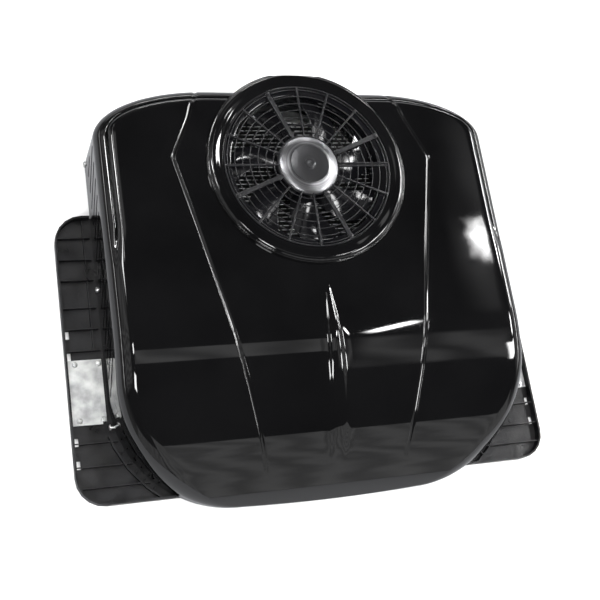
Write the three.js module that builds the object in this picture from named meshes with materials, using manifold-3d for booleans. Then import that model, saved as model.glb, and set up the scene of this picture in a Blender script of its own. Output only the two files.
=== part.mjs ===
// Low-profile rooftop air-conditioning unit on a ribbed adapter tray.
// Millimetres, +Z up, +Y towards the rear of the unit, X across it.
// The origin is on the seating plane, under the middle of the whole unit.
import * as THREE from 'three';
import { mergeVertices } from 'three/addons/utils/BufferGeometryUtils.js';
import Module from 'manifold-3d';

const wasm = await Module();
wasm.setup();

// ---------------------------------------------------------------- driving dimensions
const GAP = 0.3;                 // clearance left between touching pieces

const SEAL_HEIGHT = 2.7;
const TRAY = {
  halfWidth: 400, halfLength: 233, centreY: -81.5, corner: 45,
  bottom: 3, floorTop: 6, rimTop: 20, rimWall: 3,
  ribTop: 15, ribWall: 2, ribInnerX: 285, spineX: 353,
};
const HATCH = { halfWidth: 250, halfLength: 188.5 };
const TRAY_RIB_Y = [115.5, 78.5, 43.5, -2.5, -37.5, -72.5, -218.5, -254.5, -286.5];
const TRAY_WINDOW_Y = [-44.5, -79.5, -214.5, -249.5];
const PLATE = { innerX: 344, outerX: 396, rearY: -86.5, frontY: -189.5, bottom: 6.3, top: 8.8 };

const COVER = {
  halfWidth: 340, wall: 3, bottom: 8, crown: 141,
  rearY: 325, rearFlat: 150, rearCornerDepth: 84,
  noseRadius: 190, noseSideY: -150, noseBow: 3.5, shoulder: 28,
};
// Front slope: a broad bend off the crown, a straight fall and the bull nose.
const CROWN_BEND = { startY: -75.7, radius: 287, slope: 0.389 };
const NOSE_BEND = { startY: -228, radius: 246 };

const FAN = {
  y: 180, openingRadius: 150, collarRadius: 168, collarTop: 143, flatY: 343.5,
  guardRadius: 137.3, guardBottom: 143.5, guardTop: 149, tip: 125, duct: 128.5, hub: 50,
  ringRadii: [111.5, 99.2, 85.7, 72.7, 59.9], spokes: 16, blades: 7, screwRadius: 134,
};
const BLOWER = { y: -212, z: 54, wheelRadius: 31, scrollRadius: 40, innerX: 60, outerX: 200 };
const PAN = { bottom: 6.3, top: 8.3, flangeTop: 26, inset: 3.6, wall: 2 };
// Intake slots lean rearwards as they rise; the rearmost one is a short one.
const SLOT = {
  count: 14, pitch: 28.2, rearFootY: 210.4, lean: 0.77, top: 107, shortTop: 70, bottom: 38, width: 7,
};
const SCREW_Y = [244.5, 25.5, -197.5];
const SCREW_Z = 15;
const CONDENSER = {
  halfWidth: 228, frontY: 36, rearY: 300, bottom: 44, top: 70, headerX: 237, headerRadius: 8,
};
const COMPRESSOR = { y: -28, z: 69.5, radius: 52, leftX: 60, rightX: 250, plateBottom: 12.8, plateTop: 15.2 };
const CONTROL_BOX = { leftX: -300, rightX: -170, frontY: -74, rearY: 12, top: 78, wall: 2 };
const EVAPORATOR = { halfWidth: 215, frontY: -160, rearY: -130, bottom: 22, top: 108, trayTop: 21.5 };
const PIPE_RADIUS = { suction_line: 6, discharge_line: 4, liquid_line_rear: 4, liquid_line_front: 4 };

// ---------------------------------------------------------------- materials
const finish = (colour, roughness, metalness) =>
  new THREE.MeshStandardMaterial({ color: colour, roughness, metalness });
const glossBlack = () => finish(0x0b0b0c, 0.12, 0);
const trayBlack = () => finish(0x26272a, 0.6, 0);
const fanBlack = () => finish(0x121214, 0.4, 0);
const rubberBlack = () => finish(0x1a1a1a, 0.85, 0);
const zincSteel = () => finish(0xbfc2c4, 0.4, 0.9);
const aluminium = () => finish(0xaeb2b6, 0.35, 1);
const paintedSteel = () => finish(0x1d1e20, 0.45, 0.3);
const copper = () => finish(0xb36b42, 0.3, 1);
const brass = () => finish(0xc0a050, 0.35, 1);

// ---------------------------------------------------------------- solid-making helpers
// A closed geometry turned into a solid; zero-area slivers at a lathe's poles are left out.
function solid(geometry) {
  geometry.deleteAttribute('normal');
  geometry.deleteAttribute('uv');
  const merged = mergeVertices(geometry, 1e-4);
  const corners = merged.index.array;
  const kept = [];
  for (let i = 0; i < corners.length; i += 3) {
    const [a, b, c] = corners.slice(i, i + 3);
    if (a !== b && b !== c && c !== a) kept.push(a, b, c);
  }
  const vertProperties = new Float32Array(merged.attributes.position.array);
  const triVerts = new Uint32Array(kept);
  return new wasm.Manifold(new wasm.Mesh({ numProp: 3, vertProperties, triVerts }));
}

function join(...solids) {
  return solids.reduce((whole, next) => whole.add(next));
}

function cut(body, ...tools) {
  return tools.reduce((rest, tool) => rest.subtract(tool), body);
}

function block(x0, x1, y0, y1, z0, z1) {
  const box = new THREE.BoxGeometry(x1 - x0, y1 - y0, z1 - z0);
  box.translate((x0 + x1) / 2, (y0 + y1) / 2, (z0 + z1) / 2);
  return solid(box);
}

// A plan outline of [x, y] points raised from z0 to z1.
function prism(outline, z0, z1) {
  const shape = new THREE.Shape(outline.map(([x, y]) => new THREE.Vector2(x, y)));
  const body = new THREE.ExtrudeGeometry(shape, { depth: z1 - z0, bevelEnabled: false });
  body.translate(0, 0, z0);
  return solid(body);
}

// A side outline of [y, z] points carried across from x0 to x1.
function crossPrism(outline, x0, x1) {
  const shape = new THREE.Shape(outline.map(([y, z]) => new THREE.Vector2(y, z)));
  const body = new THREE.ExtrudeGeometry(shape, { depth: x1 - x0, bevelEnabled: false });
  body.rotateX(Math.PI / 2);
  body.rotateZ(Math.PI / 2);
  body.translate(x0, 0, 0);
  return solid(body);
}

// A turned piece on the Z axis from [radius, z] points, going up its outside.
function turned(profile, segments, x = 0, y = 0) {
  const points = profile.map(([r, z]) => new THREE.Vector2(r, z));
  const body = new THREE.LatheGeometry(points, segments);
  body.rotateX(Math.PI / 2);
  body.translate(x, y, 0);
  return solid(body);
}

// The same turned piece laid down with its axis along X.
function turnedAcross(profile, segments, y, z) {
  const points = profile.map(([r, x]) => new THREE.Vector2(r, x));
  const body = new THREE.LatheGeometry(points, segments);
  body.rotateZ(-Math.PI / 2);
  body.translate(0, y, z);
  return solid(body);
}

const rod = (radius, z0, z1) => [[0, z0], [radius, z0], [radius, z1], [0, z1]];
const sleeve = (inner, outer, z0, z1) => [
  [inner, z0], [outer, z0], [outer, z1], [inner, z1], [inner, z0],
];

// A bent tube through a list of [x, y, z] points.
function tube(route, radius) {
  const path = new THREE.CatmullRomCurve3(route.map((p) => new THREE.Vector3(...p)));
  const section = new THREE.Shape();
  section.absarc(0, 0, radius, 0, 2 * Math.PI);
  const options = { steps: route.length * 3, extrudePath: path, curveSegments: 4, bevelEnabled: false };
  return solid(new THREE.ExtrudeGeometry(section, options));
}

const unit = new THREE.Group();

function fit(name, body, material) {
  const mesh = body.getMesh();
  const geometry = new THREE.BufferGeometry();
  geometry.setAttribute('position', new THREE.BufferAttribute(mesh.vertProperties, 3));
  geometry.setIndex(new THREE.BufferAttribute(mesh.triVerts, 1));
  geometry.computeVertexNormals();
  const piece = new THREE.Mesh(geometry, material);
  piece.name = name;
  unit.add(piece);
  return piece;
}

const SIDES = [['left', -1], ['right', 1]];
const span = (side, near, far) => [Math.min(side * near, side * far), Math.max(side * near, side * far)];

// ---------------------------------------------------------------- cover outline and crown
// Height of the cover's middle line at a given y.
function crownHeight(y) {
  const bend = CROWN_BEND;
  const run = Math.sin(Math.atan(bend.slope)) * bend.radius;
  if (y >= bend.startY) return COVER.crown;
  const along = bend.startY - y;
  if (along <= run) return COVER.crown - bend.radius + Math.sqrt(bend.radius ** 2 - along ** 2);
  const bendEnd = COVER.crown - bend.radius + Math.sqrt(bend.radius ** 2 - run ** 2);
  const straight = (at) => bendEnd - bend.slope * (along - run + at - y);
  if (y >= NOSE_BEND.startY) return straight(y);
  const start = bendEnd - bend.slope * (bend.startY - NOSE_BEND.startY - run);
  const angle = Math.atan(bend.slope);
  const centreY = NOSE_BEND.startY + NOSE_BEND.radius * Math.sin(angle);
  const centreZ = start - NOSE_BEND.radius * Math.cos(angle);
  return centreZ + Math.sqrt(Math.max(0, NOSE_BEND.radius ** 2 - (centreY - y) ** 2));
}

// Right half of the cover's plan outline, rear middle to nose middle, moved in by inset.
function halfOutline(inset) {
  const points = [[0, COVER.rearY - inset]];
  const cornerWidth = COVER.halfWidth - COVER.rearFlat;
  const cornerY = COVER.rearY - COVER.rearCornerDepth;
  for (let step = 0; step <= 5; step++) {
    const angle = (Math.PI / 2) * (1 - step / 5);
    points.push([
      COVER.rearFlat + (cornerWidth - inset) * Math.cos(angle),
      cornerY + (COVER.rearCornerDepth - inset) * Math.sin(angle),
    ]);
  }
  for (const y of [CROWN_BEND.startY, -112]) points.push([COVER.halfWidth - inset, y]);
  const noseX = COVER.halfWidth - COVER.noseRadius;
  for (let step = 0; step <= 8; step++) {
    const angle = (Math.PI / 2) * (step / 8);
    points.push([
      noseX + (COVER.noseRadius - inset) * Math.cos(angle),
      COVER.noseSideY - (COVER.noseRadius - inset) * Math.sin(angle),
    ]);
  }
  points.push([0, COVER.noseSideY - COVER.noseRadius - COVER.noseBow + inset]);
  return points;
}

function fullOutline(inset) {
  const right = halfOutline(inset);
  const left = right.slice(1, -1).map(([x, y]) => [-x, y]);
  return [...right, ...left.reverse()].reverse();
}

// Outline rings from the foot of the wall up round the shoulder, shrunk by inset.
function coverRings(inset, bottom) {
  const outer = halfOutline(inset);
  const radiusAt = outer.map(([, y]) =>
    Math.min(COVER.shoulder, Math.max(1, (crownHeight(y) - COVER.bottom - 4) * 0.55)));
  const rings = [outer.map(([x, y]) => [x, y, bottom])];
  const arcSteps = 3;
  for (let step = 0; step <= arcSteps; step++) {
    const angle = (Math.PI / 2) * (step / arcSteps);
    rings.push(outer.map((_, i) => {
      const radius = radiusAt[i];
      const moved = halfOutline(inset + radius * (1 - Math.cos(angle)))[i];
      const top = Math.max(crownHeight(moved[1]) - inset, COVER.bottom + 3 - inset * 0.5);
      const z = top - radius * (1 - Math.sin(angle));
      return [moved[0], moved[1], Math.max(z, COVER.bottom + 1.5 - inset * 0.4 + 0.3 * step)];
    }));
  }
  return rings;
}

// The closed body under the cover's skin, shrunk by inset, from z = bottom up.
function coverBody(inset, bottom) {
  const rings = coverRings(inset, bottom);
  const count = rings[0].length;
  const around = 2 * count - 2;
  const positions = [];
  for (const ring of rings) {
    for (const [x, y, z] of ring) positions.push(x, y, z);
    for (let i = count - 2; i > 0; i--) positions.push(-ring[i][0], ring[i][1], ring[i][2]);
  }
  const faces = [];
  for (let level = 0; level < rings.length - 1; level++) {
    for (let i = 0; i < around; i++) {
      const a = level * around + i;
      const b = level * around + (i + 1) % around;
      faces.push(a, b + around, b, a, a + around, b + around);
    }
  }
  // Flat strips across the crown and the underside join left points to right ones.
  const cap = (base, up) => {
    for (let i = 0; i < count - 1; i++) {
      const [r0, r1] = [base + i, base + i + 1];
      const [l0, l1] = [base + (around - i) % around, base + (around - i - 1) % around];
      const quad = [[l0, l1, r1], [l0, r1, r0]];
      for (const [a, b, c] of quad) {
        if (a === b || b === c || c === a) continue;
        if (up) faces.push(a, b, c);
        else faces.push(a, c, b);
      }
    }
  };
  cap(0, false);
  cap((rings.length - 1) * around, true);
  const geometry = new THREE.BufferGeometry();
  geometry.setAttribute('position', new THREE.Float32BufferAttribute(positions, 3));
  geometry.setIndex(faces);
  return solid(geometry);
}

// ---------------------------------------------------------------- adapter tray and its fittings
function roundedPlate(halfWidth, halfLength, corner, z0, z1) {
  const outline = [];
  const centres = [[1, 1], [-1, 1], [-1, -1], [1, -1]];
  centres.forEach(([sx, sy], quarter) => {
    for (let step = 0; step <= 5; step++) {
      const angle = (Math.PI / 2) * (quarter + step / 5);
      outline.push([
        sx * (halfWidth - corner) + corner * Math.cos(angle),
        TRAY.centreY + sy * (halfLength - corner) + corner * Math.sin(angle),
      ]);
    }
  });
  return prism(outline, z0, z1);
}

function adapterTray() {
  const { halfWidth, halfLength, corner, bottom, floorTop, rimTop, rimWall, ribTop, ribWall } = TRAY;
  const inner = [halfWidth - rimWall, halfLength - rimWall, corner - rimWall];
  let tray = cut(
    roundedPlate(halfWidth, halfLength, corner, bottom, rimTop),
    roundedPlate(...inner, floorTop, rimTop + 1),
  );
  const hatchY = [TRAY.centreY - HATCH.halfLength, TRAY.centreY + HATCH.halfLength];
  tray = cut(tray, block(-HATCH.halfWidth, HATCH.halfWidth, ...hatchY, bottom - 1, floorTop + 1));
  const inside = roundedPlate(halfWidth - 1, halfLength - 1, corner - 1, bottom, rimTop - 1);
  // The rim is open where the housing passes over it, front and rear.
  const housing = prism(fullOutline(-2), floorTop + 0.2, rimTop + 5);
  const lipOutside = prism(fullOutline(-15), floorTop - 1, ribTop);
  const noseLip = cut(lipOutside, prism(fullOutline(-12), bottom, rimTop));
  const frontHalf = block(-halfWidth, halfWidth, -330, -210, bottom, rimTop);
  tray = tray.add(noseLip.intersect(frontHalf).intersect(inside));
  for (const [, side] of SIDES) {
    for (const y of TRAY_RIB_Y) {
      const ribX = span(side, TRAY.ribInnerX, halfWidth - 1);
      const rib = block(...ribX, y - ribWall / 2, y + ribWall / 2, floorTop - 1, ribTop);
      tray = tray.add(cut(rib.intersect(inside), prism(fullOutline(-4), bottom, rimTop)));
    }
    const spineX = span(side, TRAY.spineX, TRAY.spineX + ribWall);
    tray = tray.add(block(...spineX, TRAY_RIB_Y[5], TRAY_RIB_Y[0] + 30, floorTop - 1, ribTop - 3));
    for (const y of TRAY_WINDOW_Y) {
      tray = cut(tray, block(...span(side, 389.5, 396.5), y - 6.5, y + 6.5, bottom - 1, rimTop - 6));
    }
    for (const [x, y] of plateScrewPlaces(side)) {
      tray = cut(tray, turned(rod(2.4, bottom - 1, floorTop + 1), 8, x, y));
    }
  }
  fit('adapter_tray', cut(tray, housing), trayBlack());
}

function roofSeal() {
  const seal = cut(
    roundedPlate(292, 222, 30, 0, SEAL_HEIGHT),
    roundedPlate(264, 196, 20, -1, SEAL_HEIGHT + 1),
  );
  fit('roof_seal', seal, rubberBlack());
}

function plateScrewPlaces(side) {
  const places = [];
  for (const x of [349, 385]) {
    for (const y of [-93.5, -182.5]) places.push([side * x, y]);
  }
  return places;
}

// Galvanised clamping plates let into both wings, each held by four pan-head screws.
function mountingPlates() {
  for (const [name, side] of SIDES) {
    const plateX = span(side, PLATE.innerX, PLATE.outerX);
    let plate = block(...plateX, PLATE.frontY, PLATE.rearY, PLATE.bottom, PLATE.top);
    const notch = block(...span(side, 343, 350), PLATE.frontY - 1, PLATE.frontY + 4, 0, 20);
    plate = cut(plate, notch);
    plateScrewPlaces(side).forEach(([x, y], index) => {
      plate = cut(plate, turned(rod(2.6, 0, 20), 8, x, y));
      const under = PLATE.top + GAP;
      const screw = [[0, 3.4], [2, 3.4], [2, under], [4.2, under], [3.6, 11.2], [0, 11.6]];
      fit(`plate_screw_${name}_${index + 1}`, turned(screw, 8, x, y), zincSteel());
    });
    fit(`mounting_plate_${name}`, plate, zincSteel());
  }
}

// ---------------------------------------------------------------- chassis pan
function chassisPan() {
  const level = (inset, z0, z1) => prism(fullOutline(inset), z0, z1).add(fanCollar(inset, z0, z1));
  const outer = level(PAN.inset, PAN.bottom, PAN.flangeTop);
  let pan = cut(outer, level(PAN.inset + PAN.wall, PAN.top, PAN.flangeTop + 1));
  // The flange is cut down under the low end of the nose.
  pan = cut(pan, block(-400, 400, -400, -285, 12, 30));
  const outletY = [BLOWER.y - 34, BLOWER.y - 2];
  for (const [, side] of SIDES) {
    pan = cut(pan, block(...span(side, BLOWER.innerX + 5, BLOWER.outerX - 5), ...outletY, 0, 12));
    for (const y of SCREW_Y) {
      pan = cut(pan, turnedAcross(rod(2.3, side > 0 ? 320 : -342, side > 0 ? 342 : -320), 8, y, SCREW_Z));
    }
  }
  pan = cut(pan, block(-200, 50, -120, -92, 0, 12));
  pan = cut(pan, turned(rod(10, 0, 12), 12, -130, -60));
  fit('chassis_pan', pan, zincSteel());
}

function supportFeet() {
  for (const [name, side] of SIDES) {
    fit(`support_foot_${name}`, block(...span(side, 215, 275), 250, 290, 0, PAN.bottom - GAP), rubberBlack());
  }
}

// ---------------------------------------------------------------- glossy cover
function fanCollar(inset, z0, z1) {
  const disc = turned(rod(FAN.collarRadius - inset, z0, z1), 48, 0, FAN.y);
  return cut(disc, block(-200, 200, FAN.flatY - inset, FAN.flatY + 60, z0 - 1, z1 + 1));
}

// Pairs of [x, y] points down the middle of the right-hand groove.
const GROOVE = [
  [169, 330], [219.4, 197.5], [205, 135.5], [189, 41.5], [171, -41.5], [158.6, -100.5],
  [149, -151.5], [141, -188.5], [132.6, -224.5], [126, -251.5], [118, -290],
];
const GROOVE_HALF_WIDTH = 2.6;
const GROOVE_DEPTH = 1.6;
// A low wedge rises from a point on the crown and runs down the nose.
const WEDGE = [
  { y: -19.5, half: 0.5, rise: 0.1 }, { y: -60, half: 6, rise: 2 }, { y: -105, half: 12, rise: 3.4 },
  { y: -150, half: 14, rise: 3.6 }, { y: -200, half: 15, rise: 3.2 }, { y: -250, half: 17, rise: 2 },
  { y: -290, half: 14, rise: 0.2 },
];

// A thin upright ribbon that follows a line over the crown, used to sink or raise a line.
function ribbon(line, halfWidthAt, zLow, zHigh) {
  const positions = [];
  line.forEach(([x, y], i) => {
    const half = halfWidthAt(i);
    const [low, high] = [zLow(x, y, i), zHigh(x, y, i)];
    positions.push(x - half, y, low, x + half, y, low, x + half, y, high, x - half, y, high);
  });
  const faces = [0, 2, 1, 0, 3, 2];
  for (let i = 0; i < line.length - 1; i++) {
    for (let k = 0; k < 4; k++) {
      const a = i * 4 + k;
      const b = i * 4 + (k + 1) % 4;
      faces.push(a, b, b + 4, a, b + 4, a + 4);
    }
  }
  const last = (line.length - 1) * 4;
  faces.push(last, last + 1, last + 2, last, last + 2, last + 3);
  const geometry = new THREE.BufferGeometry();
  geometry.setAttribute('position', new THREE.Float32BufferAttribute(positions, 3));
  geometry.setIndex(faces);
  return solid(geometry);
}

function louvreSlot(side, index) {
  const top = index === 0 ? SLOT.shortTop : SLOT.top;
  const footY = SLOT.rearFootY - index * SLOT.pitch;
  const headY = footY + SLOT.lean * (top - SLOT.bottom);
  const half = SLOT.width / 2;
  const outline = [
    [headY - half, top], [footY - half, SLOT.bottom], [footY + half, SLOT.bottom], [headY + half, top],
  ];
  return crossPrism(outline, ...span(side, 325, 350));
}

function cover() {
  const outside = join(coverBody(0, COVER.bottom), fanCollar(0, COVER.bottom, FAN.collarTop));
  const hollow = join(
    coverBody(COVER.wall, COVER.bottom - 5),
    fanCollar(COVER.wall, COVER.bottom - 5, FAN.collarTop - COVER.wall),
  );
  let skin = cut(outside, hollow, turned(rod(FAN.openingRadius, 100, 160), 48, 0, FAN.y));
  for (const [, side] of SIDES) {
    const line = GROOVE.map(([x, y]) => [side * x, y]);
    const sunk = (x, y) => crownHeight(Math.min(y, 300)) - GROOVE_DEPTH;
    skin = cut(skin, ribbon(line, () => GROOVE_HALF_WIDTH, sunk, (x, y) => sunk(x, y) + 12));
    for (let index = 0; index < SLOT.count; index++) skin = cut(skin, louvreSlot(side, index));
    for (const y of SCREW_Y) {
      skin = cut(skin, turnedAcross(rod(2.5, side > 0 ? 325 : -345, side > 0 ? 345 : -325), 8, y, SCREW_Z));
    }
  }
  const ridgeLine = WEDGE.map(({ y }) => [0, y]);
  const ridgeLow = (x, y) => crownHeight(y) - 2;
  const ridgeHigh = (x, y, i) => crownHeight(y) + WEDGE[i].rise;
  const ridge = ribbon(ridgeLine, (i) => WEDGE[i].half, ridgeLow, ridgeHigh);
  fit('cover', skin.add(ridge), glossBlack());
}

function coverScrews() {
  const profile = [[0, 328], [2, 328], [2, 340 + GAP], [5, 340 + GAP], [4.2, 342.8], [0, 343.2]];
  for (const [name, side] of SIDES) {
    SCREW_Y.forEach((y, index) => {
      const points = profile.map(([r, x]) => new THREE.Vector2(r, x));
      const screw = new THREE.LatheGeometry(points, 8);
      screw.rotateZ(-Math.PI / 2);
      if (side < 0) screw.rotateZ(Math.PI);
      screw.translate(0, y, SCREW_Z);
      fit(`cover_screw_${name}_${index + 1}`, solid(screw), zincSteel());
    });
  }
}

// ---------------------------------------------------------------- axial fan
function fanBezel() {
  const base = FAN.collarTop + GAP;
  const profile = [
    [138, base], [166.5, base], [166.5, 145.5], [164, 148], [158, 148.6],
    [150, 147.4], [142, 149.6], [138, 149.6], [138, base],
  ];
  const beyond = block(-200, 200, FAN.flatY - 1, FAN.flatY + 60, 100, 200);
  fit('fan_bezel', cut(turned(profile, 40, 0, FAN.y), beyond), glossBlack());
}

function fanDuct() {
  const top = FAN.collarTop - GAP;
  const profile = [
    [FAN.duct, 92], [131, 92], [131, 139.5], [148.5, 139.5], [148.5, top], [FAN.duct, top], [FAN.duct, 92],
  ];
  let duct = turned(profile, 28, 0, FAN.y);
  for (const [x, y] of guardScrewPlaces()) duct = cut(duct, turned(rod(2.4, 130, 150), 8, x, y));
  fit('fan_duct', duct, fanBlack());
}

function guardScrewPlaces() {
  return [1, 5, 9, 13].map((index) => {
    const angle = (index * Math.PI) / 8;
    return [FAN.screwRadius * Math.cos(angle), FAN.y + FAN.screwRadius * Math.sin(angle)];
  });
}

function spoke(index, halfWidth, inner, outer) {
  const arm = new THREE.BoxGeometry(outer - inner, halfWidth * 2, 4);
  arm.translate((inner + outer) / 2, 0, 146.2);
  arm.rotateZ((index * Math.PI) / 8);
  arm.translate(0, FAN.y, 0);
  return solid(arm);
}

// Guard: an outer rim, sixteen spokes, six thin rings and a hub ring that carries the motor.
function fanGuard() {
  let guard = turned(sleeve(126.5, FAN.guardRadius, FAN.guardBottom, FAN.guardTop), 32, 0, FAN.y);
  guard = guard.add(turned(sleeve(48.6, 53, 143.6, 149), 32, 0, FAN.y));
  for (const radius of FAN.ringRadii) {
    guard = guard.add(turned(sleeve(radius - 1, radius + 1, 144.6, 147.4), 16, 0, FAN.y));
  }
  for (let index = 0; index < FAN.spokes; index++) {
    const stout = index % 4 === 1;
    guard = guard.add(spoke(index, stout ? 3.4 : 1.3, 50, 130));
  }
  for (const [x, y] of guardScrewPlaces()) guard = cut(guard, turned(rod(2.5, 130, 160), 8, x, y));
  fit('fan_guard', guard, fanBlack());
  guardScrewPlaces().forEach(([x, y], index) => {
    const screw = [[0, 138], [2, 138], [2, 149.3], [3, 149.3], [2.6, 151], [0, 151.4]];
    fit(`guard_screw_${index + 1}`, turned(screw, 8, x, y), zincSteel());
  });
}

function fanMotor() {
  const profile = [
    [0, 112], [36, 112], [39, 115], [39, 141], [48.3, 143.9], [48.3, 146.5],
    [45, 149.3], [36, 152], [33, 153.4], [8.5, 153.4], [8.5, 155], [3, 155], [0, 153.8],
  ];
  fit('fan_motor', turned(profile, 24, 0, FAN.y), aluminium());
}

function fanShaft() {
  fit('fan_shaft', turned(rod(4, 98, 111.7), 12, 0, FAN.y), zincSteel());
}

// One swept blade, a four-sided section carried from the hub to the tip.
function blade(turn) {
  const sections = [
    { r: 48, lead: 0.32, trail: -0.3, high: 132, low: 106 },
    { r: 74, lead: 0.36, trail: -0.22, high: 131, low: 108 },
    { r: 100, lead: 0.46, trail: -0.08, high: 130, low: 110 },
    { r: FAN.tip, lead: 0.62, trail: 0.12, high: 129, low: 112 },
  ];
  const positions = [];
  for (const { r, lead, trail, high, low } of sections) {
    const corner = (angle, z) => positions.push(
      r * Math.cos(angle + turn), FAN.y + r * Math.sin(angle + turn), z);
    corner(trail, low);
    corner(lead, high);
    corner(lead, high + 2.6);
    corner(trail, low + 2.6);
  }
  const faces = [0, 2, 1, 0, 3, 2];
  const last = (sections.length - 1) * 4;
  for (let i = 0; i < last; i += 4) {
    for (let k = 0; k < 4; k++) {
      const a = i + k;
      const b = i + (k + 1) % 4;
      faces.push(a, b, b + 4, a, b + 4, a + 4);
    }
  }
  faces.push(last, last + 1, last + 2, last, last + 2, last + 3);
  const geometry = new THREE.BufferGeometry();
  geometry.setAttribute('position', new THREE.Float32BufferAttribute(positions, 3));
  geometry.setIndex(faces);
  return solid(geometry);
}

function fanImpeller() {
  const cup = [
    [4.3, 100], [FAN.hub - 3, 100], [FAN.hub, 103], [FAN.hub, 139], [44, 139], [44, 105],
    [10, 105], [10, 109], [4.3, 109], [4.3, 100],
  ];
  let impeller = turned(cup, 24, 0, FAN.y);
  for (let index = 0; index < FAN.blades; index++) {
    impeller = impeller.add(blade((index * 2 * Math.PI) / FAN.blades));
  }
  fit('fan_impeller', impeller, fanBlack());
}

// ---------------------------------------------------------------- condenser side
function condenser() {
  const { halfWidth, frontY, rearY, bottom, top, headerX, headerRadius } = CONDENSER;
  const [y0, y1] = [frontY + 4, rearY - 4];
  const base = PAN.top + GAP;
  fit('condenser_core', block(-halfWidth, halfWidth, frontY, rearY, bottom, top), aluminium());
  for (const [name, side] of SIDES) {
    const points = rod(headerRadius, y0, y1).map(([r, y]) => new THREE.Vector2(r, y));
    const manifoldTube = new THREE.LatheGeometry(points, 12);
    manifoldTube.translate(side * headerX, 0, (bottom + top) / 2);
    fit(`condenser_header_${name}`, solid(manifoldTube), aluminium());
    let bracket = block(...span(side, 213, 215), y0, y1, base, bottom - GAP);
    for (const y of [50, 132, 214]) {
      bracket = cut(bracket, block(...span(side, 210, 220), y, y + 72, 16, 36));
    }
    const foot = block(...span(side, 200, 215), y0, y1, base, base + 2);
    fit(`condenser_bracket_${name}`, bracket.add(foot), zincSteel());
  }
}

// Sealed horizontal compressor on a plate and rubber grommets.
function compressor() {
  const { y, z, radius, leftX, rightX, plateBottom, plateTop } = COMPRESSOR;
  const shell = [
    [0, leftX], [34, leftX], [46, leftX + 6], [radius, leftX + 16],
    [radius, rightX - 18], [46, rightX - 7], [34, rightX], [0, rightX],
  ];
  const weld = [[50, 150], [54, 152], [54, 157], [50, 159], [50, 150]];
  let body = turnedAcross(shell, 24, y, z).add(turnedAcross(weld, 24, y, z));
  for (const x of [90, 210]) body = body.add(block(x - 6, x + 6, y - 34, y + 34, plateTop + 0.8, 40));
  fit('compressor', body, paintedSteel());
  fit('compressor_base_plate', block(72, 228, y - 42, y + 42, plateBottom, plateTop), zincSteel());
  const feet = [[82, -60], [82, 4], [218, -28]];
  feet.forEach(([footX, footY], index) => {
    const grommet = turned(rod(8, PAN.top + GAP, plateBottom - GAP), 10, footX, footY);
    fit(`compressor_grommet_${index + 1}`, grommet, rubberBlack());
  });
}

function filterDrier() {
  const profile = [[0, 40], [6, 40], [6, 46], [14, 54], [14, 136], [6, 144], [6, 150], [0, 150]];
  const body = new THREE.LatheGeometry(profile.map(([r, y]) => new THREE.Vector2(r, y)), 14);
  body.translate(-290, 0, 26);
  fit('filter_drier', solid(body), paintedSteel());
}

function controlBox() {
  const { leftX, rightX, frontY, rearY, top, wall } = CONTROL_BOX;
  const box = cut(
    block(leftX, rightX, frontY, rearY, PAN.top + GAP, top),
    block(leftX + wall, rightX - wall, frontY + wall, rearY - wall, PAN.top + GAP + 2.4, top + 2),
  );
  const lid = block(leftX - 1, rightX + 1, frontY - 1, rearY + 1, top + GAP, top + 2.5);
  fit('control_box', box, paintedSteel());
  fit('control_box_lid', lid, paintedSteel());
}

function cableGland() {
  const profile = [[5, 6.6], [9.5, 6.6], [9.5, 8.6], [14, 8.6], [14, 13], [9, 20], [5, 20], [5, 6.6]];
  fit('cable_gland', turned(profile, 12, -130, -60), rubberBlack());
}

// ---------------------------------------------------------------- evaporator side
function partition() {
  const outline = [
    [-326, 9], [326, 9], [326, 100], [308, 126], [290, 134], [-290, 134], [-308, 126], [-326, 100],
  ];
  const shape = new THREE.Shape(outline.map(([x, z]) => new THREE.Vector2(x, z)));
  const sheet = new THREE.ExtrudeGeometry(shape, { depth: 2, bevelEnabled: false });
  sheet.rotateX(Math.PI / 2);
  sheet.translate(0, -82, 0);
  let wall = solid(sheet);
  wall = cut(wall, block(280, 300, -90, -80, 68, 86), block(-325, -305, -90, -80, 16, 34));
  fit('partition_wall', wall, zincSteel());
}

function evaporator() {
  const { halfWidth, frontY, rearY, bottom, top, trayTop } = EVAPORATOR;
  fit('evaporator_core', block(-halfWidth, halfWidth, frontY, rearY, bottom, top), aluminium());
  const outer = halfWidth + 7;
  const tray = cut(
    block(-outer, outer, frontY - 8, rearY + 6, PAN.top + GAP, trayTop),
    block(2 - outer, outer - 2, frontY - 6, rearY + 4, PAN.top + 2.7, trayTop + 3),
  );
  const legs = SIDES.map(([, side]) => block(...span(side, 200, 210), frontY, rearY, 10, trayTop));
  fit('drain_tray', tray.add(join(...legs)), fanBlack());
  fit('expansion_valve', block(-240, -halfWidth - GAP, frontY + 3, rearY - 3, 42, 78), brass());
}

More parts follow.
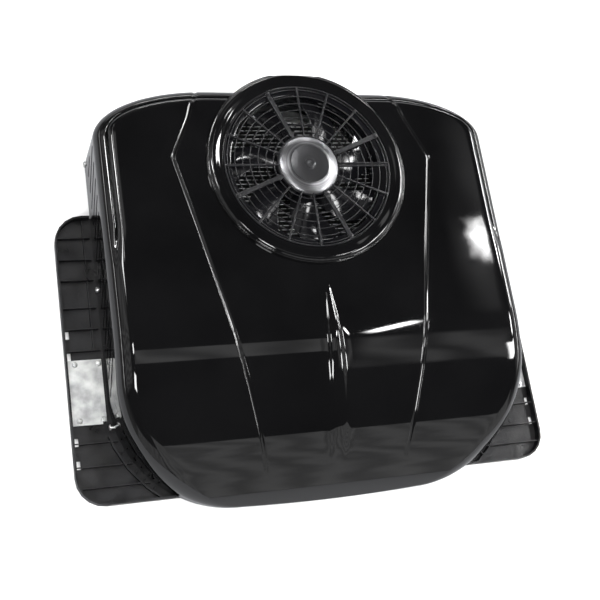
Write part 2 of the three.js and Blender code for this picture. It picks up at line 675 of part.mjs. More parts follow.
function blowerHousings() {
  for (const [name, side] of SIDES) {
    const [x0, x1] = span(side, BLOWER.innerX, BLOWER.outerX);
    // Drum over the wheel with a downward mouth along its front.
    const shell = (inset, from, to, mouthBottom) => {
      const drum = turnedAcross(rod(BLOWER.scrollRadius - inset, from, to), 24, BLOWER.y, BLOWER.z);
      const mouthY = [BLOWER.y - BLOWER.scrollRadius + inset, BLOWER.y - inset];
      return drum.add(block(from, to, ...mouthY, mouthBottom, BLOWER.z));
    };
    let housing = cut(shell(0, x0, x1, PAN.top + GAP), shell(2, x0 + 2, x1 - 2, 5));
    housing = cut(housing, turnedAcross(rod(24, x0 - 5, x1 + 5), 20, BLOWER.y, BLOWER.z));
    fit(`blower_housing_${name}`, housing, fanBlack());
    const [w0, w1] = [x0 + 10, x1 - 10];
    const middle = (w0 + w1) / 2;
    const drum = turnedAcross(sleeve(26, BLOWER.wheelRadius, w0, w1), 20, BLOWER.y, BLOWER.z);
    const disc = turnedAcross(sleeve(4.3, 27, middle - 1.5, middle + 1.5), 20, BLOWER.y, BLOWER.z);
    fit(`blower_wheel_${name}`, drum.add(disc), fanBlack());
  }
}

function blowerDrive() {
  const body = turnedAcross(sleeve(4.6, 28, -44, 44), 24, BLOWER.y, BLOWER.z);
  const stand = block(-30, 30, BLOWER.y - 20, BLOWER.y + 20, PAN.top + GAP, BLOWER.z - 22);
  fit('blower_motor', body.add(stand), paintedSteel());
  fit('blower_shaft', turnedAcross(rod(4, -180, 180), 10, BLOWER.y, BLOWER.z), zincSteel());
}

// ---------------------------------------------------------------- refrigerant lines
function refrigerantLines() {
  const lines = {
    discharge_line: [
      [250.4, -14, 50], [264, -14, 50], [274, 0, 52], [264, 22, 56], [244, 27, 57], [237, 36.8, 57],
    ],
    liquid_line_rear: [
      [-237, 298.5, 57], [-240, 306, 55], [-262, 292, 44], [-284, 262, 30],
      [-290, 200, 26], [-290, 150.4, 26],
    ],
    liquid_line_front: [
      [-290, 39, 26], [-291, 24, 25], [-312, 8, 25], [-316, -40, 25], [-316, -86, 25],
      [-306, -118, 40], [-272, -142, 58], [-241, -145, 60],
    ],
    suction_line: [
      [250.6, -46, 88], [268, -46, 88], [288, -62, 80], [290, -84, 76], [286, -112, 68],
      [256, -142, 60], [216.2, -145, 60],
    ],
  };
  for (const [name, route] of Object.entries(lines)) fit(name, tube(route, PIPE_RADIUS[name]), copper());
}

roofSeal();
adapterTray();
mountingPlates();
chassisPan();
supportFeet();
cover();
coverScrews();
fanBezel();
fanDuct();
fanGuard();
fanMotor();
fanShaft();
fanImpeller();
condenser();
compressor();
filterDrier();
controlBox();
cableGland();
partition();
evaporator();
blowerHousings();
blowerDrive();
refrigerantLines();

export default unit;
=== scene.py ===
import math

import bmesh
import bpy
from mathutils import Matrix, Vector


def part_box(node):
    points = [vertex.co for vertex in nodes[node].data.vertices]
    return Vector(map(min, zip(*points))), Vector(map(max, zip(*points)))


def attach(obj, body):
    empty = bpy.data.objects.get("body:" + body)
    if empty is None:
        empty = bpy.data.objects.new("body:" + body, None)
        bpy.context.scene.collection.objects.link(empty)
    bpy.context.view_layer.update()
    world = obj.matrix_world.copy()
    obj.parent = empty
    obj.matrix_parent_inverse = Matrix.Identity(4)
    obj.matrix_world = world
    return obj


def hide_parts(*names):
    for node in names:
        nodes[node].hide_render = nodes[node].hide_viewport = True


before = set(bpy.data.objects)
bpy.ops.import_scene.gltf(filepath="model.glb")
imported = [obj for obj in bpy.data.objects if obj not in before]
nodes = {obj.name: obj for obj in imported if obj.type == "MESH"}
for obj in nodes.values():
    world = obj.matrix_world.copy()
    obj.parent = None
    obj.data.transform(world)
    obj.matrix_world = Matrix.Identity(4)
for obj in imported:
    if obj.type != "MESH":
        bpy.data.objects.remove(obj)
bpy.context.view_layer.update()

# -------- camera
# A plain studio camera above the unit's front left corner, rolled so that the rear
# of the unit stands at the top of the picture.
CAMERA_PLACE = Vector((-0.5851, -0.4981, 1.6015))
CAMERA_AIM = Vector((0.0028, -0.0042, 0.0))
CAMERA_ROLL = math.radians(44.03)
CAMERA_LENS = 62.4

camera_data = bpy.data.cameras.new("studio_camera")
camera_data.lens = CAMERA_LENS
camera = bpy.data.objects.new("studio_camera", camera_data)
bpy.context.scene.collection.objects.link(camera)
look = (CAMERA_AIM - CAMERA_PLACE).normalized()
camera.matrix_world = (
    Matrix.Translation(CAMERA_PLACE)
    @ look.to_track_quat("-Z", "Y").to_matrix().to_4x4()
    @ Matrix.Rotation(CAMERA_ROLL, 4, "Z")
)
bpy.context.scene.camera = camera


# -------- floor and studio
# A pale seamless floor that runs out into a white backdrop, soft lights that only fill,
# and bright panels that give a polished black surface something to mirror.
def add_object(name, data):
    made = bpy.data.objects.new(name, data)
    bpy.context.scene.collection.objects.link(made)
    return made


def new_material(name):
    material = bpy.data.materials.new(name)
    material.use_nodes = True
    return material, material.node_tree, material.node_tree.nodes["Principled BSDF"]


def set_inputs(tree, node, inputs):
    """Links every input that is given a socket, and fixes the others at their value."""
    for label, source in inputs.items():
        if isinstance(source, bpy.types.NodeSocket):
            tree.links.new(source, node.inputs[label])
        else:
            node.inputs[label].default_value = source


def add_node(tree, kind, inputs=None, operation=None):
    made = tree.nodes.new(kind)
    if operation:
        made.operation = operation
    set_inputs(tree, made, inputs or {})
    return made


def mix_colours(tree, share, first, second):
    """Blends two colours by a share and gives the socket of the result."""
    made = tree.nodes.new("ShaderNodeMix")
    made.data_type = "RGBA"
    set_inputs(tree, made, {0: share, 6: first, 7: second})
    return made.outputs[2]


def multiplied(tree, first, second):
    return add_node(tree, "ShaderNodeMath", {0: first, 1: second}, "MULTIPLY").outputs["Value"]


def ranged(tree, value, low=0.0, high=1.0, to_low=0.0, to_high=1.0, eased=False):
    """Carries a value's range from low to high over to another, and gives the socket."""
    made = add_node(tree, "ShaderNodeMapRange", {
        "Value": value, "From Min": low, "From Max": high, "To Min": to_low, "To Max": to_high,
    })
    if eased:
        made.interpolation_type = "SMOOTHSTEP"
    return made.outputs["Result"]


def flat_panel(name, centre, width, depth, facing):
    """A rectangle whose width lies along X where it can, turned to face a point."""
    mesh = bpy.data.meshes.new(name)
    half_w, half_d = width / 2, depth / 2
    corners = [(-half_w, -half_d, 0), (half_w, -half_d, 0), (half_w, half_d, 0), (-half_w, half_d, 0)]
    mesh.from_pydata(corners, [], [(0, 1, 2, 3)])
    panel = add_object(name, mesh)
    turn = (Vector(facing) - Vector(centre)).to_track_quat("Z", "Y")
    panel.matrix_world = Matrix.Translation(centre) @ turn.to_matrix().to_4x4()
    return panel


# The floor is dimmer in reflections, glows white far out and can't be seen from below.
FLOOR_SPAN = 14
FLOOR_PALE = ((0.86, 0.86, 0.86, 1), (0.90, 0.90, 0.90, 1))
FLOOR_REFLECTED = (0.44, 0.445, 0.46, 1)
WHITE_FROM = 0.9
WHITE_AT = 2.2

floor_material, floor_tree, floor_shader = new_material("pale_floor")
floor_place = add_node(floor_tree, "ShaderNodeTexCoord")
floor_path = add_node(floor_tree, "ShaderNodeLightPath")
floor_side = add_node(floor_tree, "ShaderNodeNewGeometry")
floor_tone = add_node(floor_tree, "ShaderNodeTexNoise", {"Scale": 1.5})
floor_pale = mix_colours(floor_tree, floor_tone.outputs["Fac"], *FLOOR_PALE)
floor_colour = mix_colours(floor_tree, floor_path.outputs["Is Glossy Ray"], floor_pale, FLOOR_REFLECTED)
set_inputs(floor_tree, floor_shader, {
    "Base Color": floor_colour, "Roughness": 0.9, "Specular IOR Level": 0.1,
})
floor_reach = add_node(floor_tree, "ShaderNodeVectorMath", {0: floor_place.outputs["Object"]}, "LENGTH")
floor_far = ranged(floor_tree, floor_reach.outputs["Value"], WHITE_FROM, WHITE_AT, eased=True)
floor_seen = multiplied(floor_tree, floor_far, floor_path.outputs["Is Camera Ray"])
floor_glow = add_node(floor_tree, "ShaderNodeEmission")
floor_clear = add_node(floor_tree, "ShaderNodeBsdfTransparent")
floor_above = add_node(floor_tree, "ShaderNodeMixShader", {
    0: floor_seen, 1: floor_shader.outputs["BSDF"], 2: floor_glow.outputs["Emission"],
})
floor_either = add_node(floor_tree, "ShaderNodeMixShader", {
    0: floor_side.outputs["Backfacing"], 1: floor_above.outputs["Shader"], 2: floor_clear.outputs["BSDF"],
})
set_inputs(floor_tree, floor_tree.nodes["Material Output"], {"Surface": floor_either.outputs["Shader"]})

floor = flat_panel("studio_floor", (0, 0, 0), FLOOR_SPAN, FLOOR_SPAN, (0, 0, 1))
floor.data.materials.append(floor_material)


def fill_light(name, place, size, power):
    """A square area light aimed at the unit, which gloss doesn't show."""
    light = bpy.data.lights.new(name, "AREA")
    light.shape = "SQUARE"
    light.size = size
    light.energy = power
    lamp = add_object(name, light)
    lamp.location = place
    lamp.rotation_euler = (Vector((0, 0, 0)) - Vector(place)).to_track_quat("-Z", "Y").to_euler()
    lamp.visible_glossy = False


fill_light("fill_overhead", (0.3, 0.2, 3.2), 4.5, 330)
fill_light("key_front_left", (-2.2, -1.8, 2.2), 1.4, 90)


def glow_panel(
    name, centre, width, depth, facing, brightness, folds=0.0, soft=0.2, turn=0.0, ragged=0.0,
):
    """A glowing panel seen only in reflections: soft fades its edges, folds ripple its
    brightness and ragged breaks up its outline."""
    panel = flat_panel(name, centre, width, depth, facing)
    panel.matrix_world = panel.matrix_world @ Matrix.Rotation(math.radians(turn), 4, "Z")
    material = bpy.data.materials.new(name)
    material.use_nodes = True
    tree = material.node_tree
    tree.nodes.clear()
    place = add_node(tree, "ShaderNodeTexCoord")
    upset = add_node(tree, "ShaderNodeTexNoise", {"Vector": place.outputs["Object"], "Scale": 14.0})
    centred = add_node(
        tree, "ShaderNodeVectorMath", {0: upset.outputs["Color"], 1: (0.5, 0.5, 0.5)}, "SUBTRACT",
    )
    pushed = add_node(tree, "ShaderNodeVectorMath", {
        0: centred.outputs["Vector"], 1: (ragged * 2, ragged * 2, 0), 2: place.outputs["Generated"],
    }, "MULTIPLY_ADD")
    parts = add_node(tree, "ShaderNodeSeparateXYZ", {"Vector": pushed.outputs["Vector"]})
    fades = []
    for axis in ("X", "Y"):
        off_centre = add_node(tree, "ShaderNodeMath", {0: parts.outputs[axis], 1: 0.5}, "SUBTRACT")
        size = add_node(tree, "ShaderNodeMath", {0: off_centre.outputs["Value"]}, "ABSOLUTE")
        fades.append(ranged(tree, size.outputs["Value"], 0.5, 0.5 - soft * 0.5, eased=True))
    wave = add_node(tree, "ShaderNodeTexWave", {
        "Vector": place.outputs["Object"], "Scale": 0.9, "Distortion": 12.0,
        "Detail": 3.0, "Detail Scale": 0.8,
    })
    tones = ranged(tree, wave.outputs["Fac"], to_low=brightness * (1 - folds), to_high=brightness)
    level = multiplied(tree, tones, multiplied(tree, *fades))
    glow = add_node(tree, "ShaderNodeEmission", {"Strength": level})
    add_node(tree, "ShaderNodeOutputMaterial", {"Surface": glow.outputs["Emission"]})
    panel.data.materials.append(material)
    material.cycles.emission_sampling = "FRONT_BACK"
    panel.visible_camera = False
    panel.visible_diffuse = False
    panel.visible_shadow = False


glow_panel("front_sweep", (2.3, -3.2, 1.62), 6.4, 3.3, (2.3, 0, 1.62), 0.95, folds=0.4, soft=0.03)
glow_panel("front_sweep_low", (-2.2, -3.21, 0.86), 2.7, 1.75, (-2.2, 0, 0.86), 0.75, folds=0.4, soft=0.1)
glow_panel("bend_band_left", (0.19, -0.24, 2.0), 1.1, 0.32, (0.19, -0.24, 0), 0.9, folds=0.5, soft=0.12)
glow_panel("bend_band_right", (1.15, -0.50, 2.0), 0.78, 0.84, (1.15, -0.50, 0), 0.7, folds=0.7, soft=0.3)
glow_panel("streak_lamp", (0.95, 0.085, 2.0), 0.36, 0.08, (0.95, 0.085, 0), 80, soft=0.7, turn=-46)
glow_panel("round_lamp", (1.41, 0.735, 2.0), 0.16, 0.20, (1.41, 0.735, 0), 44, soft=0.9, ragged=0.35)
glow_panel("right_haze", (1.40, 0.82, 2.01), 0.30, 1.3, (1.40, 0.82, 0), 0.5, folds=0.8, soft=0.8)
glow_panel("left_strip", (-0.36, 0.96, 2.0), 0.05, 0.55, (-0.36, 0.96, 0), 30)
glow_panel("left_front_lamp", (-0.52, -0.84, 2.0), 0.40, 0.52, (-0.3, -0.1, 0.1), 26, soft=0.25)
glow_panel("left_nose_lamp", (-0.47, -0.04, 2.0), 0.26, 0.22, (-0.1, 0, 0.1), 26, soft=0.3)
glow_panel("right_front_lamp", (1.75, -0.67, 1.99), 0.56, 0.50, (1.75, -0.67, 0), 30, soft=0.15, turn=-14)
glow_panel("right_edge_lamp", (1.98, 1.05, 2.0), 0.36, 0.75, (1.98, 1.05, 0), 95, soft=0.3)
glow_panel("bezel_lamp_left", (-1.13, 1.09, 2.0), 0.16, 0.55, (0, 0.18, 0.1), 80, soft=0.4)
glow_panel("bezel_lamp_right", (3.0, 1.0, 1.40), 0.9, 0.16, (0, 0.18, 0.15), 70, soft=0.4)
glow_panel("bezel_lamp_rear", (2.25, 2.8, 0.70), 0.6, 0.15, (0, 0.18, 0.15), 60, soft=0.4)
glow_panel("bezel_lamp_back", (0.14, 2.9, 1.39), 0.8, 0.12, (0, 0.18, 0.15), 50, soft=0.4)
glow_panel("funnel_glow_right", (-0.13, 0.98, 2.0), 0.17, 0.45, (-0.13, 0.98, 0), 0.8)
glow_panel("funnel_glow_front", (0.10, 1.66, 2.0), 0.50, 0.24, (0.10, 1.66, 0), 1.2)
glow_panel("funnel_glow_corner", (0.50, 2.15, 2.0), 0.30, 0.30, (0.50, 2.15, 0), 1.2)
glow_panel("groove_strip", (-0.25, 1.25, 2.0), 0.06, 0.60, (-0.25, 1.25, 0), 10, soft=0.3)
glow_panel("right_side_lamp", (3.0, 0.8, 0.85), 4.2, 0.16, (0, 0.8, 0.3), 26, folds=0.4, soft=0.5)
glow_panel("left_side_lamp", (-3.0, 0.8, 0.85), 4.2, 0.16, (0, 0.8, 0.3), 12, folds=0.4, soft=0.5)
glow_panel("right_wall", (3.6, 0.7, 1.7), 5.0, 2.4, (0, 0.7, 0.3), 0.8, folds=0.5, soft=0.3)
glow_panel("left_wall", (-2.6, 0.7, 2.6), 5.0, 3.0, (0, 0.7, 0.3), 0.8, folds=0.6, soft=0.3)
glow_panel("rear_wall", (0.8, 4.0, 0.75), 7.0, 1.3, (0.8, 0, 0.4), 1.8, folds=0.4, soft=0.5)
glow_panel("rear_lamp", (0.3, 3.4, 1.0), 3.0, 0.2, (0.3, 0, 0.3), 10, folds=0.4, soft=0.5)
glow_panel("blade_lamp_left", (-0.85, 0.75, 2.0), 0.30, 0.30, (0, 0.18, 0.1), 24, soft=0.5)
glow_panel("blade_lamp_right", (2.2, 0.9, 1.15), 0.35, 0.35, (0, 0.18, 0.1), 22, soft=0.5)
glow_panel("blade_lamp_rear", (1.0, 2.6, 1.25), 0.45, 0.35, (0, 0.18, 0.1), 22, soft=0.5)
glow_panel("tray_sheen", (1.76, 0.0, 2.0), 0.36, 0.7, (1.76, 0.0, 0), 85, folds=0.7, soft=0.6)

# The backdrop is white to the eye, but lights the unit dimly and mostly from the sides.
world = bpy.data.worlds.new("dim_studio")
world.use_nodes = True
sky = world.node_tree
sky_place = add_node(sky, "ShaderNodeTexCoord")
sky_path = add_node(sky, "ShaderNodeLightPath")
sky_parts = add_node(sky, "ShaderNodeSeparateXYZ", {"Vector": sky_place.outputs["Generated"]})
sky_level = ranged(sky, sky_parts.outputs["Z"], 0.5, 0.0, 0.006, 0.35, eased=True)
sky_seen = add_node(sky, "ShaderNodeMix", {
    "Factor": sky_path.outputs["Is Camera Ray"], "A": sky_level, "B": 1.0,
})
set_inputs(sky, sky.nodes["Background"], {"Color": (1, 1, 1, 1), "Strength": sky_seen.outputs["Result"]})
bpy.context.scene.world = world
bpy.context.scene.view_settings.view_transform = "Standard"


# -------- shared surface effects
# Two small upsets of a real surface that several finishes use: moulding or casting
# grain, and settled dust that lies on what faces up.
def new_effect(name, inputs, output, kind):
    """A node group with plain number inputs and one output."""
    group = bpy.data.node_groups.new(name, "ShaderNodeTree")
    for label, default in inputs:
        socket = group.interface.new_socket(name=label, in_out="INPUT", socket_type="NodeSocketFloat")
        socket.default_value = default
    group.interface.new_socket(name=output, in_out="OUTPUT", socket_type=kind)
    return group, group.nodes.new("NodeGroupInput"), group.nodes.new("NodeGroupOutput")


grain_effect, grain_in, grain_out = new_effect(
    "surface_grain", [("Scale", 900.0), ("Height", 0.1)], "Normal", "NodeSocketVector",
)
grain_place = add_node(grain_effect, "ShaderNodeTexCoord")
grain_noise = add_node(grain_effect, "ShaderNodeTexNoise", {
    "Vector": grain_place.outputs["Object"], "Scale": grain_in.outputs["Scale"], "Detail": 3,
})
grain_bump = add_node(grain_effect, "ShaderNodeBump", {
    "Strength": grain_in.outputs["Height"], "Distance": 0.001, "Height": grain_noise.outputs["Fac"],
})
set_inputs(grain_effect, grain_out, {"Normal": grain_bump.outputs["Normal"]})

dust_effect, dust_in, dust_out = new_effect(
    "settled_dust", [("Amount", 0.3), ("Scale", 14.0)], "Mask", "NodeSocketFloat",
)
dust_place = add_node(dust_effect, "ShaderNodeTexCoord")
dust_noise = add_node(dust_effect, "ShaderNodeTexNoise", {
    "Vector": dust_place.outputs["Object"], "Scale": dust_in.outputs["Scale"],
    "Detail": 5, "Roughness": 0.65,
})
dust_spread = ranged(dust_effect, dust_noise.outputs["Fac"], 0.35, 0.75)
dust_up = add_node(dust_effect, "ShaderNodeSeparateXYZ", {"Vector": dust_place.outputs["Normal"]})
dust_facing = add_node(dust_effect, "ShaderNodeMath", {0: dust_up.outputs["Z"], 1: dust_spread}, "MULTIPLY")
dust_facing.use_clamp = True
dust_mask = multiplied(dust_effect, dust_facing.outputs["Value"], dust_in.outputs["Amount"])
set_inputs(dust_effect, dust_out, {"Mask": dust_mask})
DUST_COLOUR = (0.30, 0.29, 0.27, 1)


def add_effect(tree, effect, inputs):
    made = tree.nodes.new("ShaderNodeGroup")
    made.node_tree = effect
    set_inputs(tree, made, inputs)
    return made


def finish_material(name, colours, roughness, grain, dust=0.1, metallic=0.0, shine=0.5, patch=6.0):
    """A finish of two close tones in patches, a grain of (scale, height) and a little dust."""
    material, tree, shader = new_material(name)
    place = add_node(tree, "ShaderNodeTexCoord")
    patches = add_node(tree, "ShaderNodeTexNoise", {
        "Vector": place.outputs["Object"], "Scale": patch, "Detail": 4,
    })
    spread = ranged(tree, patches.outputs["Fac"], 0.3, 0.7)
    tones = mix_colours(tree, spread, (*colours[0], 1), (*colours[1], 1))
    grains = add_effect(tree, grain_effect, {"Scale": grain[0], "Height": grain[1]})
    dusts = add_effect(tree, dust_effect, {"Amount": dust})
    set_inputs(tree, shader, {
        "Base Color": mix_colours(tree, dusts.outputs["Mask"], tones, DUST_COLOUR),
        "Roughness": ranged(tree, spread, to_low=roughness[0], to_high=roughness[1]),
        "Normal": grains.outputs["Normal"],
        "Metallic": metallic,
        "Specular IOR Level": shine,
    })
    return material


def keep(piece, slot, material, *stands_for, body="housing"):
    """Gives a made piece its finish, the body it moves with and the CAD nodes it stands for."""
    if not piece.data.materials:
        piece.data.materials.append(material)
    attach(piece, body)
    if stands_for:
        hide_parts(*stands_for)
    return piece


# -------- cover
# One glossy black moulding, 3 mm thick: flat crown, long front slope, bull nose, rounded
# shoulder with a crease round the rear, two sunk lines, a low wedge, louvre slots and
# the raised collar of the fan opening.
MM = 0.001
HALF_WIDTH = 340.0
REAR_Y = 325.0
REAR_FLAT = 150.0
REAR_CORNER = 205.0
REAR_ROW = 296.0
FRONT_ROW = -330.0
SIDE_ROWS = 64
CORNER_DEPTH = 84.0
NOSE_RADIUS = 190.0
NOSE_SIDE_Y = -150.0
NOSE_BOW = 3.5
SHOULDER = 28.0
CROWN = 141.0
COVER_BOTTOM = 8.0
COVER_WALL = 3.0
SLOPE = 0.389
CROWN_BEND_Y = -75.7
CROWN_BEND_RADIUS = 287.0
NOSE_BEND_Y = -228.0
NOSE_BEND_RADIUS = 246.0
FAN_Y = 180.0
COLLAR_RADIUS = 170.0
COLLAR_TOP = 143.0
COLLAR_FLAT_Y = 343.45
OPENING_RADIUS = 150.0
LOUVRES = 14
LOUVRE_START = 210.4
LOUVRE_PITCH = 28.2
LOUVRE_LEAN = 0.77
COVER_SCREW_Y = (244.5, 25.5, -197.5)
COVER_SCREW_Z = 15
GROOVE_POINTS = ((330, 161), (197.5, 222.5), (80, 196.5), (-41.5, 170.6), (-170, 144.4), (-290, 118))
GROOVE_SECTION = (
    (-5.0, 0), (-3.6, 0), (-3.0, 0.15), (-2.2, 0.8), (0, 1.7), (2.2, 0.8), (3.0, 0.15), (3.6, 0), (5.0, 0),
)
WEDGE_POINTS = (
    (-19.5, 1.2, 0.0), (-60, 6, 2.0), (-105, 12, 3.4), (-150, 14, 3.6), (-200, 15, 3.2),
    (-250, 17, 2.0), (-290, 14, 0.1),
)


def crown_height(y):
    if y >= CROWN_BEND_Y:
        return CROWN
    run = math.sin(math.atan(SLOPE)) * CROWN_BEND_RADIUS
    along = CROWN_BEND_Y - y
    if along <= run:
        return CROWN - CROWN_BEND_RADIUS + math.sqrt(CROWN_BEND_RADIUS ** 2 - along ** 2)
    bend_end = CROWN - CROWN_BEND_RADIUS + math.sqrt(CROWN_BEND_RADIUS ** 2 - run ** 2)
    if y >= NOSE_BEND_Y:
        return bend_end - SLOPE * (along - run)
    start = bend_end - SLOPE * (CROWN_BEND_Y - NOSE_BEND_Y - run)
    lean = math.atan(SLOPE)
    centre_y = NOSE_BEND_Y + NOSE_BEND_RADIUS * math.sin(lean)
    centre_z = start - NOSE_BEND_RADIUS * math.cos(lean)
    return centre_z + math.sqrt(max(0, NOSE_BEND_RADIUS ** 2 - (centre_y - y) ** 2))


def shoulder_radius(y):
    return min(SHOULDER, max(1.0, (crown_height(y) - 12) * 0.55))


def smooth_step(low, high, value):
    t = min(1.0, max(0.0, (value - low) / (high - low)))
    return t * t * (3 - 2 * t)


def along_table(table, key, column):
    """Straight-line reading of a table whose first column falls."""
    if key >= table[0][0]:
        return table[0][column]
    for upper, lower in zip(table, table[1:]):
        if key >= lower[0]:
            share = (key - lower[0]) / (upper[0] - lower[0])
            return lower[column] + share * (upper[column] - lower[column])
    return table[-1][column]


def groove_x(y):
    """Sunk line's middle, with the corner by the fan eased a little."""
    return sum(along_table(GROOVE_POINTS, y + step, 1) for step in (-2, 0, 2)) / 3


def rear_ring_point(x, inset):
    if x <= REAR_FLAT:
        return x, REAR_Y - inset
    across = (x - REAR_FLAT) / (HALF_WIDTH - REAR_FLAT - inset)
    depth = (CORNER_DEPTH - inset) * math.sqrt(max(0, 1 - across ** 2))
    return x, REAR_Y - CORNER_DEPTH + depth


def rear_station(x_inner):
    """Where one column crosses the rear shoulder; near the sunk line it leans inwards."""
    ratio = (HALF_WIDTH - REAR_FLAT) / (HALF_WIDTH - REAR_FLAT - SHOULDER)
    x_outer = x_inner if x_inner <= REAR_FLAT else REAR_FLAT + (x_inner - REAR_FLAT) * ratio
    offset = x_inner - groove_x(REAR_ROW)
    reach = 23.3 if offset > 0 else 60.0
    lean = 14.0
    if abs(offset) < reach:
        x_outer -= lean * (0.5 + 0.5 * math.cos(math.pi * offset / reach))
    return lambda inset: rear_ring_point(x_inner + (x_outer - x_inner) * (1 - inset / SHOULDER), inset)


def corner_station(middle_x, middle_y, reach_x, reach_y, angle):
    """A station on a rounded corner, where inset shortens both reaches."""
    def at(inset):
        x = middle_x + (reach_x - inset) * math.cos(angle)
        return x, middle_y + (reach_y - inset) * math.sin(angle)
    return at


def side_station(y):
    return lambda inset: (HALF_WIDTH - inset, y)


def front_y(x, inset):
    bow = NOSE_BOW * (1 - (x / REAR_FLAT) ** 2)
    return NOSE_SIDE_Y - NOSE_RADIUS - bow + inset


def front_station(x):
    return lambda inset: (x, front_y(x, inset))


def row_columns(half_row, y):
    """Column places from the middle to the right on one row, with what each sinks or rises."""
    wedge_half = along_table(WEDGE_POINTS, y, 1)
    wedge_rise = along_table(WEDGE_POINTS, y, 2) if y > -290 else 0
    groove = min(groove_x(y), half_row - 16)
    depth = smooth_step(-290, -272, y)
    outer = wedge_half + 3
    places = [(0, wedge_rise)]
    for share in (0.3, 0.5, 0.62, 0.74, 0.86, 1.0):
        fall = 0.5 + 0.5 * math.cos(math.pi * max(0, share - 0.3) / 0.7)
        places.append((outer * share, wedge_rise * fall))
    first, last = outer, groove + GROOVE_SECTION[0][0]
    places += [(first + (last - first) * step / 12, 0) for step in range(1, 12)]
    places += [(groove + offset, -sink * depth) for offset, sink in GROOVE_SECTION]
    first, last = groove + GROOVE_SECTION[-1][0], half_row
    places += [(first + (last - first) * step / 9, 0) for step in range(1, 10)]
    return places


def shoulder_profile(share, radius, creased):
    """(inset, drop from the crown) at a share of the way from the wall up to the crown."""
    angle = math.pi / 2 * share
    plain = (radius * (1 - math.cos(angle)), radius * (1 - math.sin(angle)))
    if share < 0.5:
        turn = math.radians(68) * share / 0.5
        stepped = (26 * (1 - math.cos(turn)), SHOULDER - 24.5 * math.sin(turn))
    elif share < 0.64:
        part = (share - 0.5) / 0.14
        stepped = (16.26 + 4.2 * part, 5.28 + 1.5 * math.sin(math.pi / 2 * part))
    else:
        turn = math.pi / 2 * (share - 0.64) / 0.36
        stepped = (28 - 7.54 * math.cos(turn), 6.78 * (1 - math.sin(turn)))
    scale = radius / SHOULDER
    return tuple(a + creased * (b * scale - a) for a, b in zip(plain, stepped))


def cover_stations():
    """Right-hand stations round the outline, then the rows of the crown between them."""
    corner_turn = math.acos((REAR_CORNER - REAR_FLAT) / (HALF_WIDTH - REAR_FLAT - SHOULDER))
    side_start = REAR_Y - CORNER_DEPTH
    pitch = (side_start - NOSE_SIDE_Y) / SIDE_ROWS
    rear = [rear_station(x) for x, _ in row_columns(REAR_CORNER, REAR_ROW)]
    rear_corner = (REAR_FLAT, side_start, HALF_WIDTH - REAR_FLAT, CORNER_DEPTH)
    nose_corner = (HALF_WIDTH - NOSE_RADIUS, NOSE_SIDE_Y, NOSE_RADIUS, NOSE_RADIUS)
    sides = [corner_station(*rear_corner, corner_turn * (1 - step / 16)) for step in range(1, 17)]
    sides += [side_station(side_start - pitch * step) for step in range(1, SIDE_ROWS + 1)]
    sides += [corner_station(*nose_corner, -math.pi / 2 * step / 30) for step in range(1, 31)]
    front = [front_station(x) for x, _ in row_columns(REAR_FLAT, FRONT_ROW)]
    return rear, sides, front


def mesh_object(name, mesh):
    """Makes a finished bmesh into an object."""
    data = bpy.data.meshes.new(name)
    mesh.to_mesh(data)
    mesh.free()
    return add_object(name, data)


def applied(piece):
    """The piece's mesh with its modifiers worked in."""
    graph = bpy.context.evaluated_depsgraph_get()
    return bpy.data.meshes.new_from_object(piece.evaluated_get(graph))


